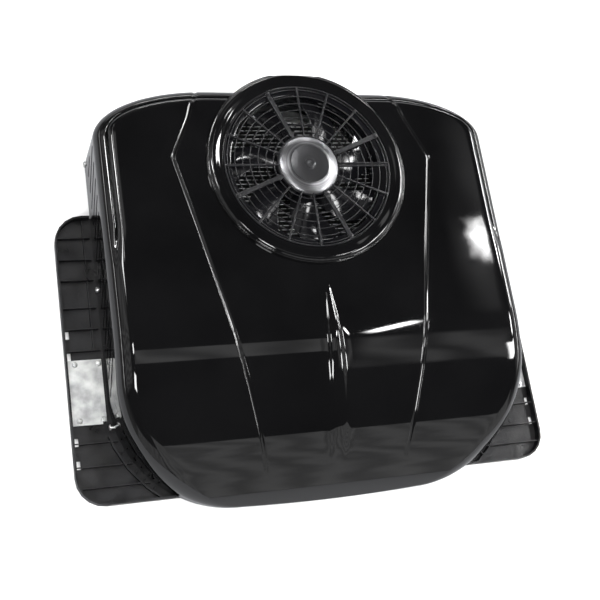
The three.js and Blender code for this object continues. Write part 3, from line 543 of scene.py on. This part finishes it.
def cover_body(name, inset, bottom, detailed):
    """The closed body of the cover, shrunk by inset, from its underside up."""
    rear, sides, front = cover_stations()
    mesh = bmesh.new()

    def radius_of(station):
        return shoulder_radius(station(0)[1])

    def top_at(y):
        return max(crown_height(y) - inset, COVER_BOTTOM + 2.5 - inset * 0.4)

    grid = []
    ends = [rear[-1]] + sides
    for index, station in enumerate(ends):
        end_x, end_y = station(min(inset + radius_of(station), SHOULDER + inset))
        first = 1 - smooth_step(0, 10, index)
        final = smooth_step(len(ends) - 14, len(ends) - 1, index)
        row = []
        for x, lift in row_columns(end_x, end_y):
            rear_line = rear_ring_point(end_x, SHOULDER + inset)[1]
            rear_gain = rear_ring_point(min(x, end_x), SHOULDER + inset)[1] - rear_line
            front_gain = front_y(x, 0) - front_y(end_x, 0)
            y = end_y + first * rear_gain + final * front_gain
            z = top_at(y) + (lift if detailed else 0)
            row.append((x * MM, y * MM, z * MM))
        right = [mesh.verts.new(place) for place in row]
        left = [mesh.verts.new((-x, y, z)) for x, y, z in row[1:]]
        grid.append(left[::-1] + right)
    width = len(grid[0])
    for upper, lower in zip(grid, grid[1:]):
        for column in range(width - 1):
            mesh.faces.new((upper[column], lower[column], lower[column + 1], upper[column + 1]))

    middle = width // 2
    loop = grid[0][middle:] + [row[-1] for row in grid[1:]] + grid[-1][-2:middle:-1]
    loop += grid[-1][middle:0:-1] + [row[0] for row in grid[:0:-1]] + grid[0][:middle]
    half = rear + sides + front[-2::-1]
    stations = [(station, 1) for station in half] + [(station, -1) for station in half[-2:0:-1]]
    sink = [lift for _, lift in row_columns(REAR_CORNER, REAR_ROW)] + [0] * (len(half) - len(rear))
    sinks = sink + sink[-2:0:-1]

    def ring(share):
        made = []
        for (station, side), lift in zip(stations, sinks):
            radius = radius_of(station)
            rear_share = smooth_step(20, 90, station(0)[1])
            across, drop = shoulder_profile(share, radius, rear_share if detailed else 0)
            x, y = station(inset + across)
            cut = min(0, lift) if detailed else 0
            lean = math.pi / 2 * share
            x_in, y_in = station(inset + across + 1)
            z = top_at(y) - drop + cut * math.sin(lean)
            x += (x - x_in) * cut * math.cos(lean)
            y += (y - y_in) * cut * math.cos(lean)
            made.append(mesh.verts.new((side * x * MM, y * MM, max(z, bottom + 0.6 + share * 0.3) * MM)))
        return made

    def straight_ring(share):
        made = []
        for (station, side), lift in zip(stations, sinks):
            x, y = station(inset)
            top = max(top_at(y) - radius_of(station), bottom + 0.6)
            made.append(mesh.verts.new((side * x * MM, y * MM, (bottom + (top - bottom) * share) * MM)))
        return made

    rings = [loop] + [ring(1 - step / 25) for step in range(1, 26)]
    rings += [straight_ring(share) for share in (0.82, 0.4, 0)]
    for upper, lower in zip(rings, rings[1:]):
        for index in range(len(loop)):
            after = (index + 1) % len(loop)
            mesh.faces.new((upper[index], upper[after], lower[after], lower[index]))
    mesh.faces.new(rings[-1])
    bmesh.ops.recalc_face_normals(mesh, faces=mesh.faces)
    return mesh_object(name, mesh)


def prism(name, outline, low, high, axis="Z"):
    """A closed outline carried from low to high along one axis; all sizes in millimetres."""
    mesh = bmesh.new()
    order = {"Z": lambda a, b, c: (a, b, c), "X": lambda a, b, c: (c, a, b)}[axis]
    base = [mesh.verts.new(Vector(order(a, b, low)) * MM) for a, b in outline]
    top = [mesh.verts.new(Vector(order(a, b, high)) * MM) for a, b in outline]
    mesh.faces.new(base[::-1])
    mesh.faces.new(top)
    for index in range(len(base)):
        after = (index + 1) % len(base)
        mesh.faces.new((base[index], base[after], top[after], top[index]))
    bmesh.ops.recalc_face_normals(mesh, faces=mesh.faces)
    return mesh_object(name, mesh)


def circle_outline(radius, centre_x, centre_y, count=128):
    steps = [2 * math.pi * index / count for index in range(count)]
    return [(centre_x + radius * math.cos(a), centre_y + radius * math.sin(a)) for a in steps]


def collar_outline(inset):
    """Plan of the fan collar: a round with its rear cut off flat."""
    radius = COLLAR_RADIUS - inset
    flat = COLLAR_FLAT_Y - inset
    limit = math.asin((flat - FAN_Y) / radius)
    count = 180
    angles = [math.pi - limit + (math.pi + 2 * limit) * index / count for index in range(count + 1)]
    return [(radius * math.cos(a), FAN_Y + radius * math.sin(a)) for a in angles]


def merge(target, tool, operation):
    """Applies one exact boolean to target and drops the tool."""
    step = target.modifiers.new("shape", "BOOLEAN")
    step.operation = operation
    step.solver = "EXACT"
    step.object = tool
    result = applied(target)
    target.modifiers.clear()
    target.data = result
    bpy.data.objects.remove(tool)
    return target


def smooth_by_angle(piece, degrees):
    for face in piece.data.polygons:
        face.use_smooth = True
    piece.data.set_sharp_from_angle(angle=math.radians(degrees))
    return piece


def slot_outline(foot_y, low, high, lean, half_width):
    """A leaning slot with rounded ends, as [y, z] points."""
    foot = (foot_y + lean * half_width, low + half_width)
    head = (foot_y + lean * (high - low - half_width), high - half_width)
    across = math.atan2(head[1] - foot[1], head[0] - foot[0]) - math.pi / 2
    points = []
    for (y, z), start in ((head, across), (foot, across + math.pi)):
        for step in range(9):
            angle = start + math.pi * step / 8
            points.append((y + half_width * math.cos(angle), z + half_width * math.sin(angle)))
    return points


def joined(name, pieces):
    """Several closed meshes put into one object."""
    mesh = bmesh.new()
    for piece in pieces:
        piece.data.transform(piece.matrix_world)
        mesh.from_mesh(piece.data)
        bpy.data.objects.remove(piece)
    return mesh_object(name, mesh)


cover_shell = cover_body("cover_shell", 0, COVER_BOTTOM, True)
cover_hollow = cover_body("cover_hollow", COVER_WALL, COVER_BOTTOM - 5, False)
merge(cover_shell, prism("collar_outside", collar_outline(0), COVER_BOTTOM, COLLAR_TOP), "UNION")
merge(cover_hollow, prism("collar_inside", collar_outline(COVER_WALL), 3, COLLAR_TOP - COVER_WALL), "UNION")
merge(cover_shell, cover_hollow, "DIFFERENCE")
merge(cover_shell, prism("opening", circle_outline(OPENING_RADIUS, 0, FAN_Y), 100, 160), "DIFFERENCE")
louvre_tools = []
for side in (-1, 1):
    through_wall = sorted((side * 325, side * 350))
    for number in range(LOUVRES):
        head = 70 if number == 0 else 107
        outline = slot_outline(LOUVRE_START - LOUVRE_PITCH * number, 38, head, LOUVRE_LEAN, 3.5)
        louvre_tools.append(prism("louvre", outline, *through_wall, axis="X"))
    for y in COVER_SCREW_Y:
        hole = circle_outline(2.5, y, COVER_SCREW_Z, 16)
        louvre_tools.append(prism("screw_hole", hole, *through_wall, axis="X"))
merge(cover_shell, joined("louvre_tool", louvre_tools), "DIFFERENCE")
smooth_by_angle(cover_shell, 42)

cover_material = finish_material(
    "gloss_black", ((0.0022, 0.0022, 0.0024), (0.0036, 0.0036, 0.0039)), (0.025, 0.05), (160.0, 0.006),
    dust=0.002,
)
keep(cover_shell, "cover_gloss", cover_material, "cover")


# -------- cover screws
# Six small pan-head screws with a cross recess, through the foot of the side walls into
# the pan. Zinc-plated steel.
def turned(name, profile, segments=96, centre=(0, 0), closed=False):
    """A piece turned about an upright axis from (radius, z) points in millimetres."""
    mesh = bmesh.new()
    points = list(profile) + ([profile[0]] if closed else [])
    rings = []
    for radius, z in points:
        if radius < 1e-6:
            rings.append([mesh.verts.new((centre[0] * MM, centre[1] * MM, z * MM))])
            continue
        ring = []
        for index in range(segments):
            angle = 2 * math.pi * index / segments
            x = centre[0] + radius * math.cos(angle)
            y = centre[1] + radius * math.sin(angle)
            ring.append(mesh.verts.new((x * MM, y * MM, z * MM)))
        rings.append(ring)
    for lower, upper in zip(rings, rings[1:]):
        for index in range(segments):
            after = (index + 1) % segments
            corners = [lower[index % len(lower)], lower[after % len(lower)]]
            corners += [upper[after % len(upper)], upper[index % len(upper)]]
            corners = list(dict.fromkeys(corners))
            if len(corners) > 2:
                mesh.faces.new(corners)
    bmesh.ops.remove_doubles(mesh, verts=mesh.verts, dist=1e-7)
    bmesh.ops.recalc_face_normals(mesh, faces=mesh.faces)
    return smooth_by_angle(mesh_object(name, mesh), 35)


def pan_head_screw(name, radius, height, shank, reach):
    """A screw standing on z = 0 under its head, with a cross recess sunk in the head."""
    profile = [
        (0, -reach), (shank * 0.6, -reach), (shank, -reach + shank * 0.5), (shank, 0), (radius, 0),
        (radius, height * 0.35), (radius * 0.86, height * 0.75), (radius * 0.6, height * 0.93), (0, height),
    ]
    screw = turned(name, profile, 32)
    arm, half = radius * 0.56, radius * 0.13
    cross = []
    quarter = [(arm, -half), (arm, half), (half, half)]
    for _ in range(4):
        cross += quarter
        quarter = [(-y, x) for x, y in quarter]
    merge(screw, prism("recess", cross, height * 0.45, height + 2), "DIFFERENCE")
    return smooth_by_angle(screw, 35)


zinc_material = finish_material(
    "zinc_plated", ((0.62, 0.63, 0.64), (0.75, 0.75, 0.74)), (0.28, 0.45), (500.0, 0.05),
    dust=0.1, metallic=1.0, patch=60,
)
for side_name, side in (("left", -1), ("right", 1)):
    for number, y in enumerate(COVER_SCREW_Y, 1):
        screw = pan_head_screw(f"cover_screw_{side_name}_{number}_head", 5.0, 2.8, 2.0, 12)
        screw.data.transform(Matrix.Rotation(side * math.pi / 2, 4, "Y"))
        screw.data.transform(Matrix.Translation(Vector((side * 340.35, y, COVER_SCREW_Z)) * MM))
        keep(screw, "screw_zinc", zinc_material, f"cover_screw_{side_name}_{number}")


# -------- fan bezel
# Glossy black ring on the collar: a fine outer lip, a narrow channel, a rounded crest and
# a slope down to the guard, cut off flat at the rear with the collar.
bezel_profile = [
    (142.6, 143.3), (168.7, 143.3), (169.0, 143.8), (168.9, 145.4), (168.5, 146.2), (167.9, 146.6),
    (167.2, 146.5), (166.7, 146.2), (166.1, 146.4), (165.1, 147.5), (163.7, 148.5), (161.9, 149.25),
    (159.7, 149.55), (157.4, 149.35), (154.8, 148.7), (151.5, 147.6), (148.0, 146.6), (145.2, 146.1),
    (143.2, 146.0), (142.6, 145.6),
]
bezel = turned("fan_bezel_ring", bezel_profile, 192, (0, FAN_Y), closed=True)
beyond = [(-200, 342.5), (200, 342.5), (200, 400), (-200, 400)]
merge(bezel, prism("bezel_cut", beyond, 100, 200), "DIFFERENCE")
smooth_by_angle(bezel, 42)
keep(bezel, "cover_gloss", cover_material, "fan_bezel")


# -------- fan guard
# Charcoal guard let into the bezel: flat rim, sixteen spokes of which four are stout
# with round bosses and one is a channel between two walls, a solid outer web in one gap,
# and seven round wires.
def rotated_outline(outline, turn):
    cosine, sine = math.cos(turn), math.sin(turn)
    return [(x * cosine - y * sine, x * sine + y * cosine + FAN_Y) for x, y in outline]


def spoke_outline(half_inner, half_outer):
    return [
        (SPOKE_INNER, -half_inner), (SPOKE_OUTER, -half_outer), (SPOKE_OUTER, half_outer),
        (SPOKE_INNER, half_inner),
    ]


def soften(piece, width, segments=2, degrees=50):
    """Rounds the edges of a piece that turn by more than an angle."""
    edge = piece.modifiers.new("soft_edges", "BEVEL")
    edge.width = width * MM
    edge.segments = segments
    edge.limit_method = "ANGLE"
    edge.angle_limit = math.radians(degrees)
    edge.harden_normals = False
    return piece


def round_wire(name, radius, thickness, z):
    """A thin round wire bent to a full circle about the fan's axis."""
    curve = bpy.data.curves.new(name, "CURVE")
    curve.dimensions = "3D"
    curve.bevel_depth = thickness * MM
    curve.bevel_resolution = 3
    count = 120
    line = curve.splines.new("POLY")
    line.points.add(count - 1)
    for index, point in enumerate(line.points):
        angle = 2 * math.pi * index / count
        point.co = (radius * math.cos(angle) * MM, (FAN_Y + radius * math.sin(angle)) * MM, z * MM, 1)
    line.use_cyclic_u = True
    made = add_object(name, curve)
    mesh = applied(made)
    bpy.data.objects.remove(made)
    return smooth_by_angle(add_object(name, mesh), 60)


guard_material = finish_material(
    "guard_plastic", ((0.004, 0.004, 0.005), (0.009, 0.009, 0.010)), (0.28, 0.40), (700.0, 0.12),
    dust=0.02, shine=0.35, patch=20,
)
SPOKES = 16
SPOKE_TURN = 2 * math.pi / SPOKES
SPOKE_INNER = 50
SPOKE_OUTER = 141
BOSS_RADII = (58.5, 137.0)
WIRE_RADII = (136.6, 124.3, 111.5, 99.2, 85.7, 72.7, 59.9)
WEB_STEPS = 6
rim_profile = [
    (140.0, 143.5), (142.2, 143.5), (142.2, 147.4), (141.7, 148.0), (140.5, 148.0), (140.0, 147.4),
]
guard_rim = turned("guard_rim", rim_profile, 160, (0, FAN_Y), closed=True)
hub_profile = [(51.4, 143.6), (53, 143.6), (53, 147.0), (52.7, 147.4), (51.7, 147.4), (51.4, 147.0)]
guard_hub = turned("guard_hub_ring", hub_profile, 96, (0, FAN_Y), closed=True)
arms = []
for number in range(SPOKES):
    turn = number * SPOKE_TURN
    if number % 4 == 1:
        arms.append(prism("arm", rotated_outline(spoke_outline(3.0, 3.7), turn), 144.0, 148.4))
        for radius in BOSS_RADII:
            x, y = radius * math.cos(turn), FAN_Y + radius * math.sin(turn)
            arms.append(prism("boss", circle_outline(4.4, x, y, 24), 144.0, 149.2))
    elif number == 0:
        for shift in (-2.6, 2.6):
            wall = [(x, y + shift) for x, y in spoke_outline(0.9, 0.9)]
            arms.append(prism("arm", rotated_outline(wall, turn), 144.2, 148.2))
        arms.append(prism("arm", rotated_outline(spoke_outline(2.6, 2.6), turn), 144.2, 145.2))
    else:
        arms.append(prism("arm", rotated_outline(spoke_outline(1.2, 1.7), turn), 144.2, 148.2))
web = []
for radius, steps in ((140.2, range(WEB_STEPS + 1)), (112, range(WEB_STEPS, -1, -1))):
    for step in steps:
        angle = -SPOKE_TURN * step / WEB_STEPS
        web.append((radius * math.cos(angle), radius * math.sin(angle)))
guard_web = soften(prism("guard_web", rotated_outline(web, 0), 144.6, 146.6), 0.3)
guard_arms = joined("guard_spokes", arms)
soften(guard_arms, 0.35)
wires = [round_wire("wire", radius, 0.8, 146.4) for radius in WIRE_RADII]
guard_wires = smooth_by_angle(joined("guard_wires", wires), 60)
keep(guard_web, "fan_plastic", cover_material)
for piece in (guard_rim, guard_hub, guard_arms, guard_wires):
    keep(piece, "fan_plastic", guard_material)
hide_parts("fan_guard")
for number in range(1, 5):
    turn = (4 * number - 3) * SPOKE_TURN
    place = (BOSS_RADII[1] * math.cos(turn), FAN_Y + BOSS_RADII[1] * math.sin(turn))
    cap = turned(f"guard_screw_{number}_cap", [
        (0, 138), (1.9, 138), (1.9, 149.25), (3.2, 149.25), (3.2, 150.2), (2.6, 150.9), (1.4, 151.3),
        (0, 151.4),
    ], 32, place)
    keep(cap, "fan_plastic", guard_material, f"guard_screw_{number}")


# -------- fan motor
# Turned steel motor cap in the guard's hub: a bright flared shoulder, a brushed face whose steel is painted
# darker as shade, and a small centre boss with a dimple.
def brushed_material(name, tones, roughness, metallic):
    """Turned metal: fine rings of two tones about the fan's axis."""
    material, tree, shader = new_material(name)
    place = add_node(tree, "ShaderNodeTexCoord")
    shift = add_node(
        tree, "ShaderNodeVectorMath", {0: place.outputs["Object"], 1: (0, FAN_Y * MM, 0)}, "SUBTRACT",
    )
    flat = add_node(tree, "ShaderNodeVectorMath", {0: shift.outputs["Vector"], 1: (1, 1, 0)}, "MULTIPLY")
    reach = add_node(tree, "ShaderNodeVectorMath", {0: flat.outputs["Vector"]}, "LENGTH")
    rings = tree.nodes.new("ShaderNodeTexNoise")
    rings.noise_dimensions = "1D"
    set_inputs(tree, rings, {"W": reach.outputs["Value"], "Scale": 420, "Detail": 1})
    colour = mix_colours(tree, rings.outputs["Fac"], (*tones[0], 1), (*tones[1], 1))
    set_inputs(tree, shader, {"Base Color": colour, "Metallic": metallic, "Roughness": roughness})
    return material


SHOULDER_TONES = ((0.05, 0.05, 0.052), (0.30, 0.30, 0.31))
# The face's tones are a darker copy of the shoulder's steel: painted shade on the flat face.
FACE_SHADE_TONES = ((0.012, 0.012, 0.013), (0.028, 0.028, 0.030))
shoulder_metal = brushed_material("motor_shoulder_metal", SHOULDER_TONES, 0.30, 1.0)
shaded_face_metal = brushed_material("motor_face_metal_painted_shade", FACE_SHADE_TONES, 0.34, 0.6)
motor_body = turned("motor_body", [
    (0, 112), (36, 112), (38.4, 113), (39, 115), (39, 141), (42, 142.6), (47.0, 143.7), (48.3, 144.4),
    (51.2, 144.6), (51.2, 146.2), (50.4, 147.2), (48.2, 148.4), (45.0, 149.6), (41.0, 150.8),
    (37.2, 151.7), (34.6, 152.3), (33.4, 152.6), (0, 152.6),
], 128, (0, FAN_Y))
motor_face = turned("motor_face", [
    (0, 152.65), (33.2, 152.65), (33.2, 153.2), (32.6, 153.5), (31.8, 153.5), (31.2, 153.15),
    (10.2, 153.15), (9.0, 153.2), (8.6, 153.5), (8.4, 154.6), (7.8, 155.0), (3.4, 155.0), (2.6, 154.6),
    (0, 153.9),
], 128, (0, FAN_Y))
keep(motor_body, "motor_steel", shoulder_metal, "fan_motor")
keep(motor_face, "motor_steel", shaded_face_metal)


# -------- fan impeller
# One glossy black moulding on the motor shaft: a cup hub and seven swept, twisted
# blades with rounded edges.
BLADES = 7
BLADE_THICKNESS = 2.2


def fan_blade(name, turn):
    """A curved plate through sections of (radius, leading angle, trailing angle, top, foot)."""
    sections = (
        (47, 0.34, -0.32, 130.5, 107.5), (60, 0.35, -0.27, 130.2, 108.3), (74, 0.37, -0.21, 130, 109),
        (88, 0.42, -0.14, 129.6, 110), (102, 0.49, -0.06, 129.2, 111), (114, 0.56, 0.04, 128.6, 112),
        (121, 0.59, 0.13, 128, 113), (124.2, 0.56, 0.22, 127, 115),
    )
    mesh = bmesh.new()
    rows = []
    across = 10
    for radius, lead, trail, high, low in sections:
        row = []
        for step in range(across + 1):
            share = step / across
            angle = turn + trail + (lead - trail) * share
            camber = 3.2 * math.sin(math.pi * share)
            z = low + (high - low) * share + camber
            x, y = radius * math.cos(angle), FAN_Y + radius * math.sin(angle)
            row.append(mesh.verts.new((x * MM, y * MM, z * MM)))
        rows.append(row)
    for lower, upper in zip(rows, rows[1:]):
        for step in range(across):
            mesh.faces.new((lower[step], lower[step + 1], upper[step + 1], upper[step]))
    blade = mesh_object(name, mesh)
    wall = blade.modifiers.new("wall", "SOLIDIFY")
    wall.thickness = BLADE_THICKNESS * MM
    wall.offset = 0
    blade.data = applied(blade)
    blade.modifiers.clear()
    return blade


blade_material = finish_material(
    "blade_plastic", ((0.0015, 0.0015, 0.002), (0.004, 0.004, 0.005)), (0.07, 0.16), (400.0, 0.03),
    dust=0.01, shine=0.4, patch=18,
)
blade_turns = [2 * math.pi * index / BLADES for index in range(BLADES)]
blades = joined("impeller_blades", [fan_blade("blade", turn) for turn in blade_turns])
smooth_by_angle(soften(blades, 0.6), 60)
impeller_hub = turned("impeller_hub", [
    (4.3, 100), (46, 100), (49, 101), (50, 103.5), (50, 138.2), (49.2, 139), (44.8, 139), (44, 138.2),
    (44, 105), (10, 105), (10, 109), (4.3, 109),
], 96, (0, FAN_Y), closed=True)
keep(impeller_hub, "fan_plastic", blade_material, "fan_impeller", body="fan_rotor")
keep(blades, "fan_plastic", blade_material, body="fan_rotor")


# -------- fan duct
# Black tube round the blades with a flange under the guard and a flared mouth.
duct_profile = [
    (131, 92), (131, 137.5), (132, 139.5), (148.5, 139.5), (148.5, 142.7), (130.4, 142.7), (129.0, 142.0),
    (128.5, 140.6), (128.5, 93), (129.2, 92),
]
duct = turned("fan_duct_tube", duct_profile, 128, (0, FAN_Y), closed=True)
keep(duct, "fan_plastic", blade_material, "fan_duct")


# -------- condenser
# Flat aluminium tubes across the unit with folded fins between them, under the fan, both painted near black
# as shade, and short bright beads along the tubes' tops that are painted highlights.
def finish_cad(name, material, rounding=0.0):
    """Puts a finish on a CAD node that is shown as it is, with rounded edges if asked."""
    node = nodes[name]
    node.data.materials.clear()
    node.data.materials.append(material)
    smooth_by_angle(node, 40)
    if rounding:
        soften(node, rounding)


# Bright aluminium for the headers and the evaporator, also used for the beads that are painted highlights.
aluminium_and_highlight_material = finish_material(
    "aluminium_and_painted_highlight", ((0.55, 0.56, 0.57), (0.95, 0.96, 0.97)), (0.25, 0.40), (900.0, 0.1),
    dust=0.1, metallic=0.15, patch=90,
)
# The condenser's aluminium painted near black: painted shade under the fan.
shaded_fin_material = finish_material(
    "fin_aluminium_painted_shade", ((0.02, 0.02, 0.022), (0.06, 0.06, 0.063)), (0.30, 0.45), (900.0, 0.1),
    dust=0.15, metallic=0.5, patch=50,
)
core_low, core_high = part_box("condenser_core")
TUBE_PITCH = 7.6
tube_count = int((core_high.y - core_low.y) / MM / TUBE_PITCH)
first_tube = core_low.y / MM + 1.2
tubes = []
highlight_beads = []
for number in range(tube_count + 1):
    y = first_tube + TUBE_PITCH * number
    flat_tube = [
        (y - 0.8, 46), (y - 0.4, 44.6), (y + 0.4, 44.6), (y + 0.8, 46), (y + 0.8, 67), (y + 0.4, 68.2),
        (y - 0.4, 68.2), (y - 0.8, 67),
    ]
    tubes.append(prism("tube", flat_tube, -227.5, 227.5, axis="X"))
    # Short bright strips on the tube tops: painted highlights.
    highlight_bead = [(y - 0.5, 68.3), (y + 0.5, 68.3), (y + 0.4, 69.0), (y - 0.4, 69.0)]
    for place in range(36):
        start = -224 + 12.6 * place + 4.2 * (number % 2)
        if start + 9 < 227:
            highlight_beads.append(prism("highlight_bead", highlight_bead, start, start + 9, axis="X"))
keep(joined("condenser_tubes", tubes), "coil_aluminium", shaded_fin_material, "condenser_core")
keep(joined("condenser_painted_highlights", highlight_beads), "coil_aluminium", aluminium_and_highlight_material)


def folded_fins(name, x_low, x_high, y_low, y_high, z_low, z_high, pitch):
    """A strip folded to and fro between two tubes, as one thin ribbon."""
    mesh = bmesh.new()
    folds = int((x_high - x_low) / pitch) * 2
    lines = []
    for fold in range(folds + 1):
        x = x_low + (x_high - x_low) * fold / folds
        y = y_low if fold % 2 else y_high
        lines.append([mesh.verts.new(Vector((x, y, z)) * MM) for z in (z_low, z_high)])
    for first, second in zip(lines, lines[1:]):
        mesh.faces.new((first[0], first[1], second[1], second[0]))
    return mesh_object(name, mesh)


strips = []
for number in range(tube_count):
    y = first_tube + TUBE_PITCH * number
    strips.append(folded_fins("fins", -227, 227, y + 0.95, y + TUBE_PITCH - 0.95, 45.5, 68.5, 2.6))
keep(joined("condenser_fins", strips), "coil_aluminium", shaded_fin_material)
for name in ("condenser_header_left", "condenser_header_right"):
    finish_cad(name, aluminium_and_highlight_material)
for name in ("condenser_bracket_left", "condenser_bracket_right"):
    finish_cad(name, zinc_material, 0.3)


# -------- adapter tray
# Injection-moulded charcoal tray: ribbed wings, a lipped rim, through windows, ejector
# marks and short struts between the nose lip and the cover.
tray_material = finish_material(
    "tray_plastic", ((0.0006, 0.0006, 0.0009), (0.012, 0.012, 0.013)), (0.26, 0.60), (260.0, 0.25),
    dust=0.025, shine=0.15, patch=26,
)
finish_cad("adapter_tray", tray_material, 0.5)
TRAY_FLOOR = 6.0
marks = []
for side in (-1, 1):
    for x, y in ((378, 132.5), (391, -232.5), (353, -246.5), (350, -308.5), (366, -24), (366, 22)):
        for radius, low, high in ((4.0, 0.02, 0.4), (3.2, 0.4, 0.7)):
            outline = circle_outline(radius, side * x, y, 32)
            marks.append(prism("mark", outline, TRAY_FLOOR + low, TRAY_FLOOR + high))
    for number in range(9):
        angle = math.radians(26 + 5.5 * number)
        ray = Vector((side * math.cos(angle), -math.sin(angle)))
        cross = Vector((-ray.y, ray.x)) * 0.8
        start = Vector((side * 150, -150)) + ray * 194
        end = Vector((side * 150, -150)) + ray * 201.7
        if end.y < -311 or abs(end.x) > 396:
            continue
        corners = [start - cross, end - cross, end + cross, start + cross]
        marks.append(prism("strut", [tuple(corner) for corner in corners], TRAY_FLOOR + 0.02, 13.5))
keep(soften(joined("tray_marks_and_struts", marks), 0.2), "tray_plastic", tray_material)


# -------- clamping plates
# Bright galvanised plates let into both wings, with a pressed bend line and four
# pan-head screws each.
galvanised_material = finish_material(
    "galvanised_sheet", ((0.22, 0.225, 0.23), (0.52, 0.53, 0.52)), (0.30, 0.50), (90.0, 0.20),
    dust=0.3, metallic=0.35, patch=46,
)
for side_name, side in (("left", -1), ("right", 1)):
    finish_cad(f"mounting_plate_{side_name}", galvanised_material, 0.25)
    middle = side * 352.0
    crease = [(middle - 0.9, -185), (middle + 0.9, -185), (middle + 0.9, -91), (middle - 0.9, -91)]
    bend = soften(prism(f"plate_bend_{side_name}", crease, 8.85, 9.3), 0.2)
    keep(bend, "zinc_plate", galvanised_material)
    number = 0
    for x in (349, 385):
        for y in (-93.5, -182.5):
            number += 1
            screw = pan_head_screw(f"plate_screw_{side_name}_{number}_head", 4.2, 2.5, 2.0, 5.5)
            screw.data.transform(Matrix.Translation(Vector((side * x, y, 9.1)) * MM))
            keep(screw, "screw_zinc", zinc_material, f"plate_screw_{side_name}_{number}")


# -------- pan, seal, feet and gland
# Galvanised pan under the cover, sponge rubber seal and feet on the roof, and a ribbed
# rubber gland for the cable.
rubber_material = finish_material(
    "black_rubber", ((0.010, 0.010, 0.010), (0.020, 0.020, 0.020)), (0.75, 0.92), (420.0, 0.5),
    dust=0.25, patch=25,
)
finish_cad("chassis_pan", galvanised_material, 0.3)
finish_cad("roof_seal", rubber_material, 0.5)
for name in ("support_foot_left", "support_foot_right"):
    finish_cad(name, rubber_material, 1.2)
gland = turned("cable_gland_body", [
    (5, 6.6), (9.5, 6.6), (9.5, 8.5), (13.4, 8.6), (14, 9.2), (14, 12.4), (13.2, 13), (11.8, 13.3),
    (11.9, 14.6), (11.0, 14.9), (11.1, 16.2), (10.2, 16.5), (10.3, 17.8), (9.4, 18.1), (9.0, 20),
    (5.6, 20), (5, 19.4),
], 64, (-130, -60), closed=True)
keep(gland, "seal_rubber", rubber_material, "cable_gland")


# -------- machinery inside
# Compressor, drier, control box, partition, evaporator, blower and pipes: painted steel,
# zinc sheet, aluminium, black plastic, brass and copper, all closed in by the cover.
paint_material = finish_material(
    "painted_steel", ((0.008, 0.008, 0.009), (0.016, 0.016, 0.017)), (0.30, 0.42), (320.0, 0.15),
    dust=0.2, patch=12,
)
copper_material = finish_material(
    "copper_tube", ((0.62, 0.28, 0.17), (0.42, 0.20, 0.14)), (0.22, 0.42), (240.0, 0.08),
    dust=0.1, metallic=1.0, patch=30,
)
brass_material = finish_material(
    "brass_valve", ((0.60, 0.45, 0.18), (0.48, 0.36, 0.16)), (0.25, 0.40), (240.0, 0.08),
    dust=0.1, metallic=1.0, patch=30,
)
INSIDE_PIECES = (
    (paint_material, 0, ("compressor", "filter_drier", "blower_motor")),
    (paint_material, 0.8, ("control_box", "control_box_lid")),
    (zinc_material, 0.3, ("compressor_base_plate", "partition_wall")),
    (zinc_material, 0, ("fan_shaft", "blower_shaft")),
    (rubber_material, 0.6, ("compressor_grommet_1", "compressor_grommet_2", "compressor_grommet_3")),
    (guard_material, 0.3, ("drain_tray", "blower_housing_left", "blower_housing_right")),
    (guard_material, 0.2, ("blower_wheel_left", "blower_wheel_right")),
    (copper_material, 0, ("discharge_line", "liquid_line_rear", "liquid_line_front", "suction_line")),
    (brass_material, 2.0, ("expansion_valve",)),
)
for material, rounding, names in INSIDE_PIECES:
    for name in names:
        finish_cad(name, material, rounding)
COIL_PLATES = 143
COIL_PITCH = 3.0
plates = []
for number in range(COIL_PLATES):
    x = -213 + COIL_PITCH * number
    outline = [(x, -159.8), (x + 0.5, -159.8), (x + 0.5, -130.2), (x, -130.2)]
    plates.append(prism("plate", outline, 22.2, 107.8))
keep(joined("evaporator_fins", plates), "coil_aluminium", aluminium_and_highlight_material, "evaporator_core")
